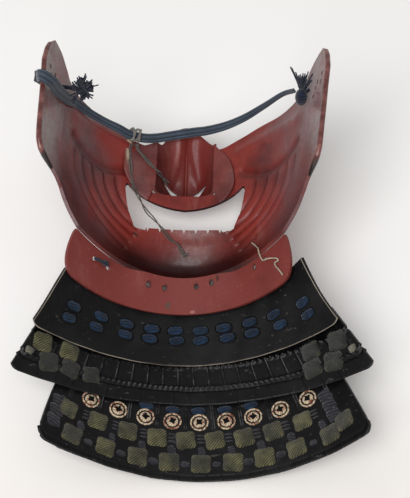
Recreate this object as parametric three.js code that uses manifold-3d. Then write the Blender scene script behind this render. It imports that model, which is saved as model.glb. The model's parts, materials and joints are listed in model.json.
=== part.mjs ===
// A samurai face guard with its throat guard, lying with the wearer's side up.
// Millimetres, +Z up. The lacquered mask rests on its nose and chin, and the three
// leather lames of the throat guard are fanned out in front of it, towards -Y.
import * as THREE from "three";
import { mergeVertices } from "three/addons/utils/BufferGeometryUtils.js";
import Module from "manifold-3d";

const wasm = await Module();
wasm.setup();

// ---------------------------------------------------------------- driving sizes
const GAP = 0.35; // clear space between pieces that touch
const SEAT = 0.7; // the same under small flat pieces that sit on curved leather
const SHELL_WALL = 2; // lacquered iron with its ground coats
const NOSE_WALL = 1.4;
const MASK_TURN = -2; // degrees about Z: the mask lies a little askew of its throat guard
const MASK_SHIFT = 3;
const ORIGIN = { x: -8, y: 68.2 }; // moves the middle of the whole object to the origin

// Cross-sections of the mask's inner face, from the brow to the fold under the chin.
// y, z: the middle of the section; half: its half width at the back of the cheek;
// yBack, zBack: where that is; turn: degrees that half the section turns through;
const SHELL_SECTIONS = [
  { y: 56, z: 26, half: 74.1, yBack: 56, zBack: 85, turn: 78 },
  { y: 32, z: 25, half: 74.1, yBack: 31, zBack: 85, turn: 78 },
  { y: 14, z: 24, half: 73.8, yBack: 12, zBack: 85, turn: 78 },
  { y: -4, z: 22, half: 73.2, yBack: -7, zBack: 85, turn: 77 },
  { y: -17, z: 20, half: 72.4, yBack: -21, zBack: 85, turn: 75 },
  { y: -29, z: 17, half: 71.4, yBack: -32, zBack: 84, turn: 71 },
  { y: -38, z: 9, half: 69.8, yBack: -40, zBack: 81, turn: 66 },
  { y: -47, z: 2.6, half: 67.4, yBack: -47, zBack: 76, turn: 60 },
  { y: -56, z: 4.5, half: 64.2, yBack: -53, zBack: 71, turn: 53 },
  { y: -63, z: 12, half: 61, yBack: -58, zBack: 67.5, turn: 44 },
  { y: -67.5, z: 21.5, half: 58.2, yBack: -62, zBack: 65, turn: 34 },
];

// The edge under the eyes, left to right, and up round the front of each ear plate.
const BROW = [
  { x: -96, y: 52.5 }, { x: -83, y: 52 }, { x: -77, y: 49.5 }, { x: -73.5, y: 43 }, { x: -70, y: 37 },
  { x: -60, y: 35 }, { x: -47, y: 33.5 }, { x: -36, y: 29.5 }, { x: -26, y: 25.5 },
  { x: -15, y: 31 }, { x: 0, y: 40 }, { x: 12, y: 34 }, { x: 20, y: 27.5 },
  { x: 33, y: 32 }, { x: 46, y: 36 }, { x: 60, y: 36 }, { x: 70, y: 38 },
  { x: 73.5, y: 44 }, { x: 77.5, y: 48 }, { x: 83, y: 49 }, { x: 96, y: 49 },
];

// The smiling mouth: its lower edge has a row of small tooth notches.
const MOUTH = {
  cornerX: 35.5, cornerY: -4.5, // tips of the upward corners
  sideX: 36.5, sideY: -10, // widest point
  jawX: 30.5, jawY: -31, // lower corners
  top: -16, bottom: -28.8, // upper and lower edge in the middle
  notches: 7, notchPitch: 7.4, notchDepth: 1.8, notchWidth: 1.6,
};

const NOSE = {
  middle: -1, // it sits a little off the middle of the mask
  half: 17.8, // half width of the hollow
  top: 47, // where the bridge ends
  base: -6, // where the nose meets the upper lip
  wingHalf: 38, wingTop: 26, wingBottom: -14, // the lugs that lie inside the cheeks
  nostrilX: 8.4, nostrilY: 9, nostrilLong: 12, nostrilWide: 3.6, nostrilTurn: 34,
};

// Down the middle of the nose: y and how far its floor lies below the face of the mask.
const NOSE_FLOOR = [
  { y: 47, depth: 0.5 }, { y: 40, depth: 5 }, { y: 29, depth: 12 }, { y: 18, depth: 17.5 },
  { y: 8, depth: 20.6 }, { y: 1, depth: 19.4 }, { y: -3, depth: 10 }, { y: -6, depth: 0 },
];

// How far each section runs on, straight, into the ear plate, from the brow (v 0) to the
// chin (v 1): 1 is the cheek's back edge. The plate has a round top and a round foot.
const EAR_REACH = [
  { v: 0, t: 1.08 }, { v: 0.02, t: 1.12 }, { v: 0.045, t: 1.165 }, { v: 0.07, t: 1.195 },
  { v: 0.11, t: 1.215 }, { v: 0.2, t: 1.21 }, { v: 0.4, t: 1.21 }, { v: 0.5, t: 1.2 },
  { v: 0.56, t: 1.18 }, { v: 0.585, t: 1.14 }, { v: 0.6, t: 1.09 }, { v: 0.615, t: 1.03 },
  { v: 0.66, t: 1 }, { v: 1, t: 1 },
];

// The ear plates are bent out or in by lean for each unit that they stand above the
// cheek's back edge, and by toe for each unit towards the brow.
const EAR = {
  foot: 80, // height at which the bend starts
  lean: { left: 0.11, right: 0.05 },
  toe: { left: 0.03, right: 0.07 },
  holes: [
    { y: 29, z: 98.5 }, { y: 30, z: 91 }, { y: 24.5, z: 95.5 }, { y: 20, z: 101 }, { y: 23, z: 88 },
  ],
  holeLong: 4, holeWide: 2.4,
};

// The flange under the chin that the throat guard is laced to: a crescent.
const FLANGE = {
  wall: 2,
  span: 0.975, // how much of the mask's lower edge it runs along
  round: 0.78, // where its ends start to draw in
  tuck: 0.9, // how far its edge sits below the mask's rim
  outer: { x: -0.8, y: -90.5, z: 17.5, half: 73.5, rise: 46, back: 9 },
  holes: [
    { along: -0.76, down: 0.26 }, { along: -0.64, down: 0.26 },
    { along: -0.29, down: 0.3 }, { along: -0.14, down: 0.3 },
    { along: 0.15, down: 0.24 }, { along: 0.29, down: 0.2 },
    { along: 0.67, down: 0.16 }, { along: 0.77, down: 0.14 },
  ],
  holeWide: 2.6,
};

// The lames, top to bottom. Each row of a lame is an arc: x, y, z of its middle, its half
// width, how far its ends rise, how much more the right end rises than the left one, and
// how far its ends draw back towards the mask.
const LAMES = [
  {
    name: "lame_1", wall: 2.2,
    rows: [
      { x: 2.4, y: -84, z: 13.6, half: 67, rise: 37, lean: 9, back: 5 },
      { x: 3.6, y: -102, z: 11.2, half: 76.5, rise: 40, lean: 1, back: 3 },
      { x: 4, y: -120.5, z: 9, half: 86, rise: 42, lean: 3, back: 3 },
    ],
  },
  {
    name: "lame_2", wall: 2.2,
    rows: [
      { x: 5, y: -104, z: 7.2, half: 81, rise: 34, lean: 3, back: 2 },
      { x: 6.5, y: -124, z: 6, half: 91, rise: 37, lean: 2.5, back: 2 },
      { x: 8, y: -144, z: 5.1, half: 101, rise: 40, lean: 2, back: 2 },
    ],
  },
  {
    name: "lame_3", wall: 2.2,
    rows: [
      { x: 10, y: -128, z: 2.5, half: 72, rise: 16.5, lean: 3.5, back: 14 },
      { x: 11.5, y: -150, z: 2.3, half: 80, rise: 21, lean: 4.5, back: 14 },
      { x: 13, y: -171, z: 2.25, half: 86, rise: 27, lean: 5.5, back: 13 },
      { x: 14.5, y: -191, z: 2.2, half: 90.5, rise: 33, lean: 6.5, back: 12 },
    ],
  },
];

const LACING = {
  pairs: 10, from: -0.84, to: 0.9, down: 0.52, pitch: 6.8, long: 9.4, wide: 5.6, waist: 1.2, thick: 2.2,
};
const ROSETTES = { count: 9, along: 0.765, down: 0.44, radius: 5, thick: 2.6 };
const LOOPS = { first: 3, last: 7, down: 0.32, long: 9, wide: 5, thick: 1.5 };

// Silk woven through a lame in two rows of raised squares: from and to are the shares of
// the half width that it covers, top and bottom the shares of the lame's height.
const WEAVES = [
  { name: "woven_panel", lame: 2, from: -0.95, to: 0.95, top: 0.515, bottom: 0.935, squares: 9 },
  { name: "woven_end_left", lame: 1, from: -0.93, to: -0.6, top: 0.36, bottom: 0.74, squares: 2 },
  { name: "woven_end_right", lame: 1, from: 0.6, to: 0.93, top: 0.36, bottom: 0.74, squares: 2 },
];
const WEAVE = { base: 0.8, raised: 2.2 };

// Cords. Each route is the line that the cord's middle follows, as it lies, in the
// frame of the whole object.
const HEAD_CORD = {
  wide: 3.6, sides: 8, steps: 52,
  route: [
    [-86.2, 94.4, 90], [-89.1, 89.9, 99], [-90.2, 84.5, 107.6], [-87, 81.3, 111.6],
    [-82.3, 80.5, 107.8], [-78.6, 84.6, 94], [-75, 89.8, 81.6], [-70.6, 95.4, 70.5],
    [-65, 96.4, 62.5], [-59.2, 96.6, 56.5], [-53.2, 96.3, 51.5], [-46.9, 96.1, 46.8],
    [-40.5, 95.8, 41.2], [-31.3, 96.3, 37], [-23.3, 100.1, 32.5], [-15.2, 103.8, 30],
    [-7, 105.9, 29.5], [1.3, 106.7, 30.5], [7, 105.4, 33], [19.6, 103.6, 40],
    [31.3, 101.7, 50], [43.2, 100.2, 63], [54, 96.7, 78], [60.2, 91.5, 87],
  ],
};
// The thong is tied round the head cord: one end lies over the lip to the chin, the
// other in the nose.
const THONG_KNOT = {
  centre: [-36.2, 96.5, 39.7], axis: [9.2, 0.5, -4.2], radius: 3.85, tube: 1, long: 2.2,
};
const THONG_LONG = {
  wide: 1.7, sides: 8, steps: 28,
  route: [
    [-37.6, 91.7, 37.1], [-39.3, 89.7, 37.2], [-39.8, 87.1, 36.7], [-39.7, 81.8, 36.3],
    [-39, 73.9, 35.2], [-38.4, 66.9, 34.2], [-36.8, 61.1, 32.6], [-34.9, 58.2, 29.8],
    [-29.4, 50.1, 23.2], [-24.5, 45.4, 20.5], [-19, 38.2, 19.4], [-15.3, 34.4, 16],
    [-12.1, 32.8, 13.9], [-9.6, 31.7, 12.7], [-7.8, 29.1, 10.5], [-6, 26.9, 8.7],
  ],
};
const THONG_SHORT = {
  wide: 1.7, sides: 8, steps: 15,
  route: [
    [-35.4, 91.8, 36.9], [-35.3, 89.4, 35.2], [-33.7, 87.3, 34], [-31.8, 85.3, 33],
    [-29.9, 83.3, 32.1], [-27.9, 81.3, 31.2], [-25.9, 79.2, 30.5], [-23.9, 77.6, 29.5],
    [-22.6, 77.9, 26.9], [-21.7, 78.6, 24.2], [-21, 79.3, 21.4], [-20.3, 80.1, 18.7],
    [-19.4, 80.7, 16], [-18.1, 80.7, 13.3], [-16.6, 80.5, 10.8],
  ],
};
const TWINE = {
  wide: 0.9, sides: 8, steps: 26,
  route: [
    [35.2, 21.9, 28.3], [36.3, 19.8, 29.7], [37.2, 17.7, 31.2], [37.6, 15.8, 33.1],
    [37.7, 13.9, 35.1], [37.8, 12.2, 37.2], [37.9, 10.5, 39.3], [37.9, 9, 41.6],
    [38, 7.4, 43.9], [38, 5.6, 45.9], [38, 3.5, 47.6], [38.4, 1.1, 47.7],
    [39.3, -0.8, 46.1], [40.6, -3, 46], [42.5, -3.5, 47.9], [44.5, -4.1, 49.7],
    [46.4, -5.1, 51.3], [48.3, -6.4, 52.8], [49.1, -7.8, 53], [47.2, -8.1, 50.9],
    [47.5, -10, 50.5], [48.9, -12.3, 51], [50.2, -14.7, 51.3], [51.4, -17.1, 51.6],
  ],
};
const FLANGE_LACE = {
  wide: 1.8, sides: 6, steps: 6, knot: 2,
  route: [
    [-57, -2.3, 47.2], [-55.8, -2.3, 46], [-54.1, -2.3, 44.5], [-51.2, -2.4, 42.3], [-49.6, -3, 40.6],
  ],
};

// Frayed cord ends: locks fan out from a knot on a neck.
const LEFT_TASSEL = {
  knot: [-67.5, 93.1, 85.5], neck: [-78.7, 94.1, 87.5], size: [2.8, 2.8, 2.8], neckWide: 2.2,
  locks: 7, lockLong: 8.6, lockWide: 2.1, fanFrom: -95, fanTo: 125, stagger: 22,
};
const RIGHT_KNOT = {
  knot: [64.2, 86.9, 86.5], neck: [69, 90.9, 88.5], size: [3.4, 3.4, 6], neckWide: 2,
  locks: 4, lockLong: 13.5, lockWide: 1.9, fanFrom: 62, fanTo: 92, stagger: 9,
};

// ---------------------------------------------------------------- colours
const finish = (color, roughness, metalness = 0) =>
  new THREE.MeshStandardMaterial({ color, roughness, metalness });
const redLacquer = finish(0x6e1f1a, 0.3);
const noseLacquer = finish(0x74180f, 0.22);
const blackLeather = finish(0x2c2c2f, 0.6);
const blackLacquer = finish(0x1d1d20, 0.35);
const navySilk = finish(0x22364f, 0.75);
const slateCord = finish(0x323e4c, 0.8);
const oliveSilk = finish(0x6d6a4c, 0.85);
const creamBraid = finish(0xdccdb2, 0.8);
const greyThong = finish(0x5e564e, 0.8);
const paleTwine = finish(0xb8a994, 0.8);

// ---------------------------------------------------------------- small helpers
const radians = THREE.MathUtils.degToRad;
const clamp = THREE.MathUtils.clamp;
const lerp = THREE.MathUtils.lerp;
const smoothstep = THREE.MathUtils.smoothstep;
const UP_Y = new THREE.Vector3(0, 1, 0);
const UP_Z = new THREE.Vector3(0, 0, 1);

/** The turn that lays one direction on another. */
const turnFrom = (from, to) => new THREE.Quaternion().setFromUnitVectors(from, to.clone().normalize());

/** A smooth value from one named column of a table, at 0 (first row) to 1 (last row). */
function sample(table, column, at) {
  const last = table.length - 1;
  const place = clamp(at, 0, 1) * last;
  const row = Math.min(Math.floor(place), last - 1);
  const f = place - row;
  const [a, b, c, d] = [-1, 0, 1, 2].map((step) => table[clamp(row + step, 0, last)][column]);
  const bend = 2 * a - 5 * b + 4 * c - d;
  const twist = 3 * b - a - 3 * c + d;
  return 0.5 * (2 * b + (c - a) * f + bend * f * f + twist * f * f * f);
}

/** A smooth value of one column against another that falls from row to row. */
function lookUp(table, key, value, column) {
  let low = 0;
  let high = 1;
  for (let step = 0; step < 24; step += 1) {
    const middle = (low + high) / 2;
    if (sample(table, key, middle) > value) low = middle;
    else high = middle;
  }
  return sample(table, column, (low + high) / 2);
}

/** The upward normal of a surface whose u runs along +X and whose v runs along -Y. */
function normalAt(at, u, v) {
  const step = 1e-3;
  const across = at(u + step, v).sub(at(u - step, v));
  const down = at(u, v + step).sub(at(u, v - step));
  return down.cross(across).normalize();
}

/** A closed wall between the surface at(u, v) and the same surface moved down its normal. */
function wallOf(at, columns, rows, wall) {
  const points = [];
  const faces = [];
  const size = (columns + 1) * (rows + 1);
  for (const side of [0, 1]) {
    for (let i = 0; i <= columns; i += 1) {
      for (let j = 0; j <= rows; j += 1) {
        const u = i / columns;
        const v = j / rows;
        const p = at(u, v);
        if (side) p.addScaledVector(normalAt(at, u, v), -wall);
        points.push(p.x, p.y, p.z);
      }
    }
  }
  const index = (i, j) => i * (rows + 1) + j;
  const quad = (a, b, c, d) => faces.push(a, b, c, a, c, d);
  for (let i = 0; i < columns; i += 1) {
    for (let j = 0; j < rows; j += 1) {
      const corners = [index(i, j), index(i, j + 1), index(i + 1, j + 1), index(i + 1, j)];
      quad(...corners);
      quad(...corners.map((corner) => corner + size).reverse());
    }
  }
  for (let i = 0; i < columns; i += 1) {
    quad(index(i, 0), index(i + 1, 0), index(i + 1, 0) + size, index(i, 0) + size);
    quad(index(i + 1, rows), index(i, rows), index(i, rows) + size, index(i + 1, rows) + size);
  }
  for (let j = 0; j < rows; j += 1) {
    quad(index(0, j + 1), index(0, j), index(0, j) + size, index(0, j + 1) + size);
    const [top, bottom] = [index(columns, j), index(columns, j + 1)];
    quad(top, bottom, bottom + size, top + size);
  }
  const geometry = new THREE.BufferGeometry();
  geometry.setAttribute("position", new THREE.Float32BufferAttribute(points, 3));
  geometry.setIndex(faces);
  return geometry;
}

function toManifold(geometry) {
  const bare = geometry.clone();
  bare.deleteAttribute("normal");
  bare.deleteAttribute("uv");
  const merged = mergeVertices(bare, 1e-4);
  return new wasm.Manifold(new wasm.Mesh({
    numProp: 3,
    vertProperties: new Float32Array(merged.attributes.position.array),
    triVerts: new Uint32Array(merged.index.array),
  }));
}

function toGeometry(manifold) {
  const { numProp, vertProperties, triVerts } = manifold.getMesh();
  const points = [];
  for (let i = 0; i < vertProperties.length; i += numProp) {
    points.push(...vertProperties.subarray(i, i + 3));
  }
  const geometry = new THREE.BufferGeometry();
  geometry.setAttribute("position", new THREE.Float32BufferAttribute(points, 3));
  geometry.setIndex([...triVerts]);
  return geometry;
}

function cut(geometry, cutters) {
  return toGeometry(cutters.reduce((left, one) => left.subtract(toManifold(one)), toManifold(geometry)));
}

function join(geometries) {
  return toGeometry(geometries.map(toManifold).reduce((whole, one) => whole.add(one)));
}

function meshOf(name, geometry, material) {
  geometry.computeVertexNormals();
  const mesh = new THREE.Mesh(geometry, material);
  mesh.name = name;
  return mesh;
}

/** An upright prism over an outline in X and Y. */
function uprightPrism(shape, low, high, curveSegments = 6) {
  const prism = new THREE.ExtrudeGeometry(shape, { depth: high - low, bevelEnabled: false, curveSegments });
  return prism.translate(0, 0, low);
}

/** A prism along X over an outline in Y and Z. */
function sidewaysPrism(shape, low, high, curveSegments = 6) {
  const prism = new THREE.ExtrudeGeometry(shape, { depth: high - low, bevelEnabled: false, curveSegments });
  const turn = new THREE.Matrix4().makeBasis(
    new THREE.Vector3(0, 1, 0), new THREE.Vector3(0, 0, 1), new THREE.Vector3(1, 0, 0),
  );
  return prism.applyMatrix4(turn).translate(low, 0, 0);
}

/** A round cord along a route. */
function tube(route, { wide, sides, steps }) {
  const corners = Array.from({ length: sides }, (_, i) => {
    const turn = (i / sides) * Math.PI * 2;
    return new THREE.Vector2((Math.cos(turn) * wide) / 2, (Math.sin(turn) * wide) / 2);
  });
  const path = new THREE.CatmullRomCurve3(route.map((p) => new THREE.Vector3(...p)), false, "centripetal");
  const section = new THREE.Shape(corners);
  return new THREE.ExtrudeGeometry(section, { steps, extrudePath: path, bevelEnabled: false });
}

/** A short rod between two points, as wide as given at each. */
function rod(from, to, wideFrom, wideTo, sides = 5) {
  const along = to.clone().sub(from);
  const turn = turnFrom(UP_Y, along);
  const piece = new THREE.CylinderGeometry(wideTo / 2, wideFrom / 2, along.length(), sides);
  return piece.applyQuaternion(turn).translate(...from.clone().add(to).multiplyScalar(0.5));
}

// ---------------------------------------------------------------- the mask's own surface
/** A point of the mask's inner face: t is -1 to 1 from ear to ear, v is 0 to 1 from brow to chin. */
function shellPoint(t, v) {
  const row = (column) => sample(SHELL_SECTIONS, column, v);
  const turn = radians(row("turn"));
  const reach = clamp(Math.abs(t), 0, 1);
  const back = (1 - Math.cos(reach * turn)) / (1 - Math.cos(turn));
  const point = new THREE.Vector3(
    Math.sign(t) * (row("half") * Math.sin(reach * turn)) / Math.sin(turn),
    lerp(row("y"), row("yBack"), back),
    lerp(row("z"), row("zBack"), back),
  );
  const beyond = Math.abs(t) - reach;
  const slope = (row("half") * turn) / Math.sin(turn);
  const climb = ((row("zBack") - row("z")) * turn * Math.sin(turn)) / (1 - Math.cos(turn));
  point.x += Math.sign(t) * beyond * slope * Math.cos(turn);
  point.z += beyond * climb;
  return point;
}

/** How deep the folds of the cheek are pressed: one crease from the ear towards the mouth. */
function creaseDepth(t, v) {
  const side = Math.abs(t);
  const line = lerp(0.4, 0.17, clamp((side - 0.3) / 0.65, 0, 1));
  const off = (v - line) / 0.06;
  const fade = smoothstep(side, 0.42, 0.56) * (1 - smoothstep(side, 0.86, 0.98));
  const cheekbone = 2.2 * Math.exp(-(((v - line + 0.11) / 0.08) ** 2));
  return fade * (cheekbone - 1.6 * Math.exp(-off * off));
}

/** How far the mask runs sideways in the row at v. */
function earReach(v) {
  const after = EAR_REACH.findIndex((mark) => mark.v >= clamp(v, 1e-6, 1));
  const [from, to] = [EAR_REACH[after - 1], EAR_REACH[after]];
  return lerp(from.t, to.t, (v - from.v) / (to.v - from.v));
}

/** The mask's whole inner face, ear plates and all. */
function maskFace(u, v) {
  const plain = (a, b) => shellPoint(lerp(-earReach(b), earReach(b), a), b);
  const point = plain(u, v);
  const side = Math.sign(u - 0.5);
  const t = lerp(-earReach(v), earReach(v), u);
  point.addScaledVector(normalAt(plain, u, v), -creaseDepth(t, v));
  const [lean, toe] = side < 0 ? [EAR.lean.left, EAR.toe.left] : [EAR.lean.right, EAR.toe.right];
  const rise = Math.max(point.z - EAR.foot, 0);
  point.x += side * rise * (lean + (toe * point.y) / (105 - EAR.foot));
  return point;
}

/** Height of the mask's plain inner face over a point near its middle. */
function faceHeight(x, y) {
  let v = 0.3;
  let t = 0;
  for (let step = 0; step < 12; step += 1) {
    const turn = radians(sample(SHELL_SECTIONS, "turn", v));
    const half = sample(SHELL_SECTIONS, "half", v);
    t = Math.asin(clamp((x * Math.sin(turn)) / half, -0.99, 0.99)) / turn;
    const [here, next] = [shellPoint(t, v), shellPoint(t, v + 0.01)];
    v = clamp(v + (0.01 * (y - here.y)) / (next.y - here.y), 0, 1);
  }
  return shellPoint(t, v).z;
}

// ---------------------------------------------------------------- the iron pieces
function browCutter() {
  const shape = new THREE.Shape();
  shape.moveTo(96, 70);
  shape.lineTo(-96, 70);
  shape.lineTo(BROW[0].x, BROW[0].y);
  shape.splineThru(BROW.slice(1).map(({ x, y }) => new THREE.Vector2(x, y)));
  return uprightPrism(shape, -10, 130, 2);
}

function mouthShape() {
  const m = MOUTH;
  const shape = new THREE.Shape();
  shape.moveTo(-m.cornerX, m.cornerY);
  shape.quadraticCurveTo(-m.sideX - 1, m.cornerY - 1, -m.sideX, m.sideY);
  shape.quadraticCurveTo(-m.sideX + 1.5, -24, -m.jawX, m.jawY);
  shape.quadraticCurveTo(-m.jawX + 5, m.jawY - 1.4, -m.jawX + 7, m.bottom - 3);
  const first = (-(m.notches - 1) / 2) * m.notchPitch;
  for (let i = 0; i < m.notches; i += 1) {
    const x = first + i * m.notchPitch;
    const edge = m.bottom - 3 * (x / m.jawX) ** 2;
    shape.lineTo(x - m.notchWidth / 2, edge);
    shape.lineTo(x, edge - m.notchDepth);
    shape.lineTo(x + m.notchWidth / 2, edge);
  }
  shape.lineTo(m.jawX - 7, m.bottom - 3);
  shape.quadraticCurveTo(m.jawX - 5, m.jawY - 1.4, m.jawX, m.jawY);
  shape.quadraticCurveTo(m.sideX - 1.5, -24, m.sideX, m.sideY);
  shape.quadraticCurveTo(m.sideX + 1, m.cornerY - 1, m.cornerX, m.cornerY);
  shape.quadraticCurveTo(27, m.top + 2, 0, m.top);
  shape.quadraticCurveTo(-27, m.top + 2, -m.cornerX, m.cornerY);
  return shape;
}

function noseHoleShape() {
  const half = NOSE.half + GAP + NOSE_WALL;
  const [left, right] = [NOSE.middle - half, NOSE.middle + half];
  const bottom = NOSE.base - GAP;
  const above = NOSE.top + 13;
  const corners = [[left, above], [left, bottom], [right, bottom], [right, above]];
  return new THREE.Shape(corners.map((corner) => new THREE.Vector2(...corner)));
}

/** The cord holes go through both ear plates in one line each. */
function earHole({ y, z }) {
  const shape = new THREE.Shape();
  shape.absellipse(y, z, EAR.holeLong / 2, EAR.holeWide / 2, 0, Math.PI * 2);
  return sidewaysPrism(shape, -110, 110, 3);
}

function maskShell() {
  const blank = wallOf(maskFace, 32, 17, SHELL_WALL);
  return cut(blank, [
    browCutter(),
    uprightPrism(mouthShape(), -5, 60, 3),
    uprightPrism(noseHoleShape(), -5, 60),
    ...EAR.holes.map(earHole),
  ]);
}

/** The nose is pressed down from the face; its lugs lie on the inside of the cheeks. */
function noseFace(u, v) {
  const off = lerp(-NOSE.wingHalf, NOSE.wingHalf, u);
  const x = NOSE.middle + off;
  const y = lerp(NOSE.top, NOSE.wingBottom, v);
  const lift = NOSE_WALL + 2 * GAP;
  const round = lerp(1.5, 3.4, clamp((NOSE.top - y) / 36, 0, 1));
  const inside = clamp(1 - (Math.abs(off) / NOSE.half) ** round, 0, 1);
  const floor = y < NOSE.base ? 0 : lookUp(NOSE_FLOOR, "y", y, "depth");
  return new THREE.Vector3(x, y, faceHeight(x, y) + lift - Math.max(floor + lift, 0) * inside ** 0.6);
}

function noseOutline() {
  const { wingHalf, wingTop, wingBottom, half, top, base } = NOSE;
  const shape = new THREE.Shape();
  shape.moveTo(0, top - 0.5);
  shape.quadraticCurveTo(-9, top - 1, -half + 3, wingTop + 7);
  shape.lineTo(-half - 8, wingTop - 0.5);
  shape.lineTo(-wingHalf + 2, wingTop + 1);
  shape.lineTo(-wingHalf + 0.5, wingTop - 2);
  shape.lineTo(-wingHalf + 1, 4);
  shape.quadraticCurveTo(-wingHalf + 5, -8, -half - 4, wingBottom + 0.5);
  shape.lineTo(-half - 1.2, base + 0.6);
  shape.lineTo(half + 1.2, base + 0.6);
  shape.lineTo(half + 4, wingBottom + 0.5);
  shape.quadraticCurveTo(wingHalf - 8, wingBottom + 4, wingHalf - 7, 0);
  shape.quadraticCurveTo(wingHalf - 8, wingTop - 8, half + 3, wingTop);
  shape.quadraticCurveTo(9, top - 2, 0, top - 0.5);
  return shape;
}

function nostrilCutter(side) {
  const { nostrilX, nostrilY, nostrilLong, nostrilWide, nostrilTurn } = NOSE;
  const shape = new THREE.Shape();
  shape.absellipse(side * nostrilX, nostrilY, nostrilLong / 2, nostrilWide / 2, 0, Math.PI * 2, false,
    radians(side * nostrilTurn));
  return uprightPrism(shape, -10, 16).translate(NOSE.middle, 0, 0);
}

function nosePiece() {
  const blank = wallOf(noseFace, 20, 10, NOSE_WALL);
  const outline = uprightPrism(noseOutline(), -10, 80).translate(NOSE.middle, 0, 0);
  const trimmed = toManifold(blank).intersect(toManifold(outline));
  return cut(toGeometry(trimmed), [nostrilCutter(-1), nostrilCutter(1)]);
}

// ---------------------------------------------------------------- flange and lames
/** A point on a band whose rows are arcs: u across from left to right, v from top to bottom. */
function bandPoint(rows, u, v) {
  const s = lerp(-1, 1, u);
  const row = (column) => sample(rows, column, v);
  return new THREE.Vector3(
    row("x") + s * row("half"),
    row("y") + row("back") * s * s,
    row("z") + row("rise") * s * s + row("lean") * Math.max(s, 0) ** 6,
  );
}

/** A band's point moved up its normal. */
function above(rows, u, v, height) {
  const at = (a, b) => bandPoint(rows, a, b);
  return at(u, v).addScaledVector(normalAt(at, u, v), height);
}

/** The flange runs from the mask's lower edge, which it butts against, to a free outer edge. */
function flangePoint(u, v) {
  const { outer, round, span, tuck } = FLANGE;
  const s = lerp(-span, span, u);
  const rim = shellPoint(s, 1);
  const below = shellPoint(s, 0.98).sub(rim).setLength(tuck);
  const edge = rim.add(below).addScaledVector(normalAt(shellPoint, s, 0.998), -SHELL_WALL - GAP);
  const free = new THREE.Vector3(
    outer.x + s * outer.half,
    outer.y + outer.back * s ** 4,
    outer.z + outer.rise * s * s,
  );
  const end = clamp((Math.abs(s) - round) / (span - round), 0, 1);
  return edge.lerp(free, v * (1 - 0.9 * end ** 3));
}

function chinFlange() {
  const blank = wallOf(flangePoint, 24, 1, FLANGE.wall);
  const holes = FLANGE.holes.map(({ along, down }) => {
    const u = (along / FLANGE.span + 1) / 2;
    const middle = flangePoint(u, down);
    const drill = new THREE.CylinderGeometry(FLANGE.holeWide / 2, FLANGE.holeWide / 2, 12, 6);
    const up = turnFrom(UP_Y, normalAt(flangePoint, u, down));
    return drill.applyQuaternion(up).translate(middle.x, middle.y, middle.z);
  });
  return cut(blank, holes);
}

function lame({ rows, wall }) {
  return wallOf((u, v) => bandPoint(rows, u, v), 20, rows.length - 1, wall);
}

/** A low oval pad of silk lying on a band, its long way across. */
function ovalPad(rows, u, v, { long, wide, thick }) {
  const pad = new THREE.SphereGeometry(1, 8, 3).rotateX(Math.PI / 2);
  pad.scale(long / 2, wide / 2, thick / 2);
  return seated(pad, rows, u, v, thick / 2 + GAP);
}

/** Two silk lacing pads, one over the other, with the thin strand that joins them. */
function lacingPair(rows, u) {
  const { down, pitch, long, wide, waist, thick } = LACING;
  const edge = thick * 0.4;
  const half = [-35, 25, 90, 155, 215].map(radians).map((turn) => new THREE.Vector2(
    (long / 2 - edge) * Math.cos(turn), pitch / 2 + (wide / 2 - edge) * Math.sin(turn),
  ));
  half.push(new THREE.Vector2(-waist / 2, 0));
  const outline = new THREE.Shape([...half, ...half.map((p) => p.clone().negate())]);
  const pad = new THREE.ExtrudeGeometry(outline, {
    depth: thick - 2 * edge, bevelThickness: edge, bevelSize: edge, bevelSegments: 1,
  });
  return seated(pad, rows, u, down, SEAT + edge);
}

/** Places a piece made round the Z axis on a band, its underside clear of the leather. */
function seated(geometry, rows, u, v, lift) {
  const at = (a, b) => bandPoint(rows, a, b);
  const up = normalAt(at, u, v);
  const across = at(u + 0.01, v).sub(at(u - 0.01, v)).normalize();
  const down = new THREE.Vector3().crossVectors(up, across).normalize();
  const centre = above(rows, u, v, lift);
  return geometry.applyMatrix4(new THREE.Matrix4().makeBasis(across, down, up).setPosition(centre));
}

/** A braided rosette: a round ring with a raised heart, dished between the two. */
function rosette(rows, u, v) {
  const { radius, thick } = ROSETTES;
  const profile = [
    [0, 0], [radius * 0.86, 0], [radius, thick * 0.5], [radius * 0.76, thick],
    [radius * 0.45, thick * 0.75], [0, thick * 0.95],
  ].map(([r, z]) => new THREE.Vector2(r, z));
  return seated(new THREE.LatheGeometry(profile, 10).rotateX(Math.PI / 2), rows, u, v, SEAT);
}

/** Woven silk over part of a lame: two rows of raised squares, the second a half step along. */
function wovenPatch({ lame: which, from, to, top, bottom, squares }) {
  const { rows } = LAMES[which];
  const swell = (place) => smoothstep(Math.sin((place % 1) * Math.PI), 0.3, 0.75);
  const height = (u, v) => {
    const step = v < 0.5 ? 0 : 0.5;
    return lerp(WEAVE.base, WEAVE.raised, swell(u * squares + step) * swell(v * 2));
  };
  const place = (u, v) => [(lerp(from, to, u) + 1) / 2, lerp(top, bottom, v)];
  const face = (u, v) => above(rows, ...place(u, v), SEAT + height(u, v));
  const floor = (u, v) => above(rows, ...place(u, v), SEAT);
  return wallBetween(face, floor, squares * 4, 4);
}

/** A closed body between an upper and a lower surface over the same u and v. */
function wallBetween(upper, lower, columns, rows) {
  const geometry = wallOf(upper, columns, rows, 1);
  const position = geometry.attributes.position;
  const size = (columns + 1) * (rows + 1);
  for (let i = 0; i <= columns; i += 1) {
    for (let j = 0; j <= rows; j += 1) {
      const p = lower(i / columns, j / rows);
      position.setXYZ(size + i * (rows + 1) + j, p.x, p.y, p.z);
    }
  }
  return geometry;
}

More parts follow.
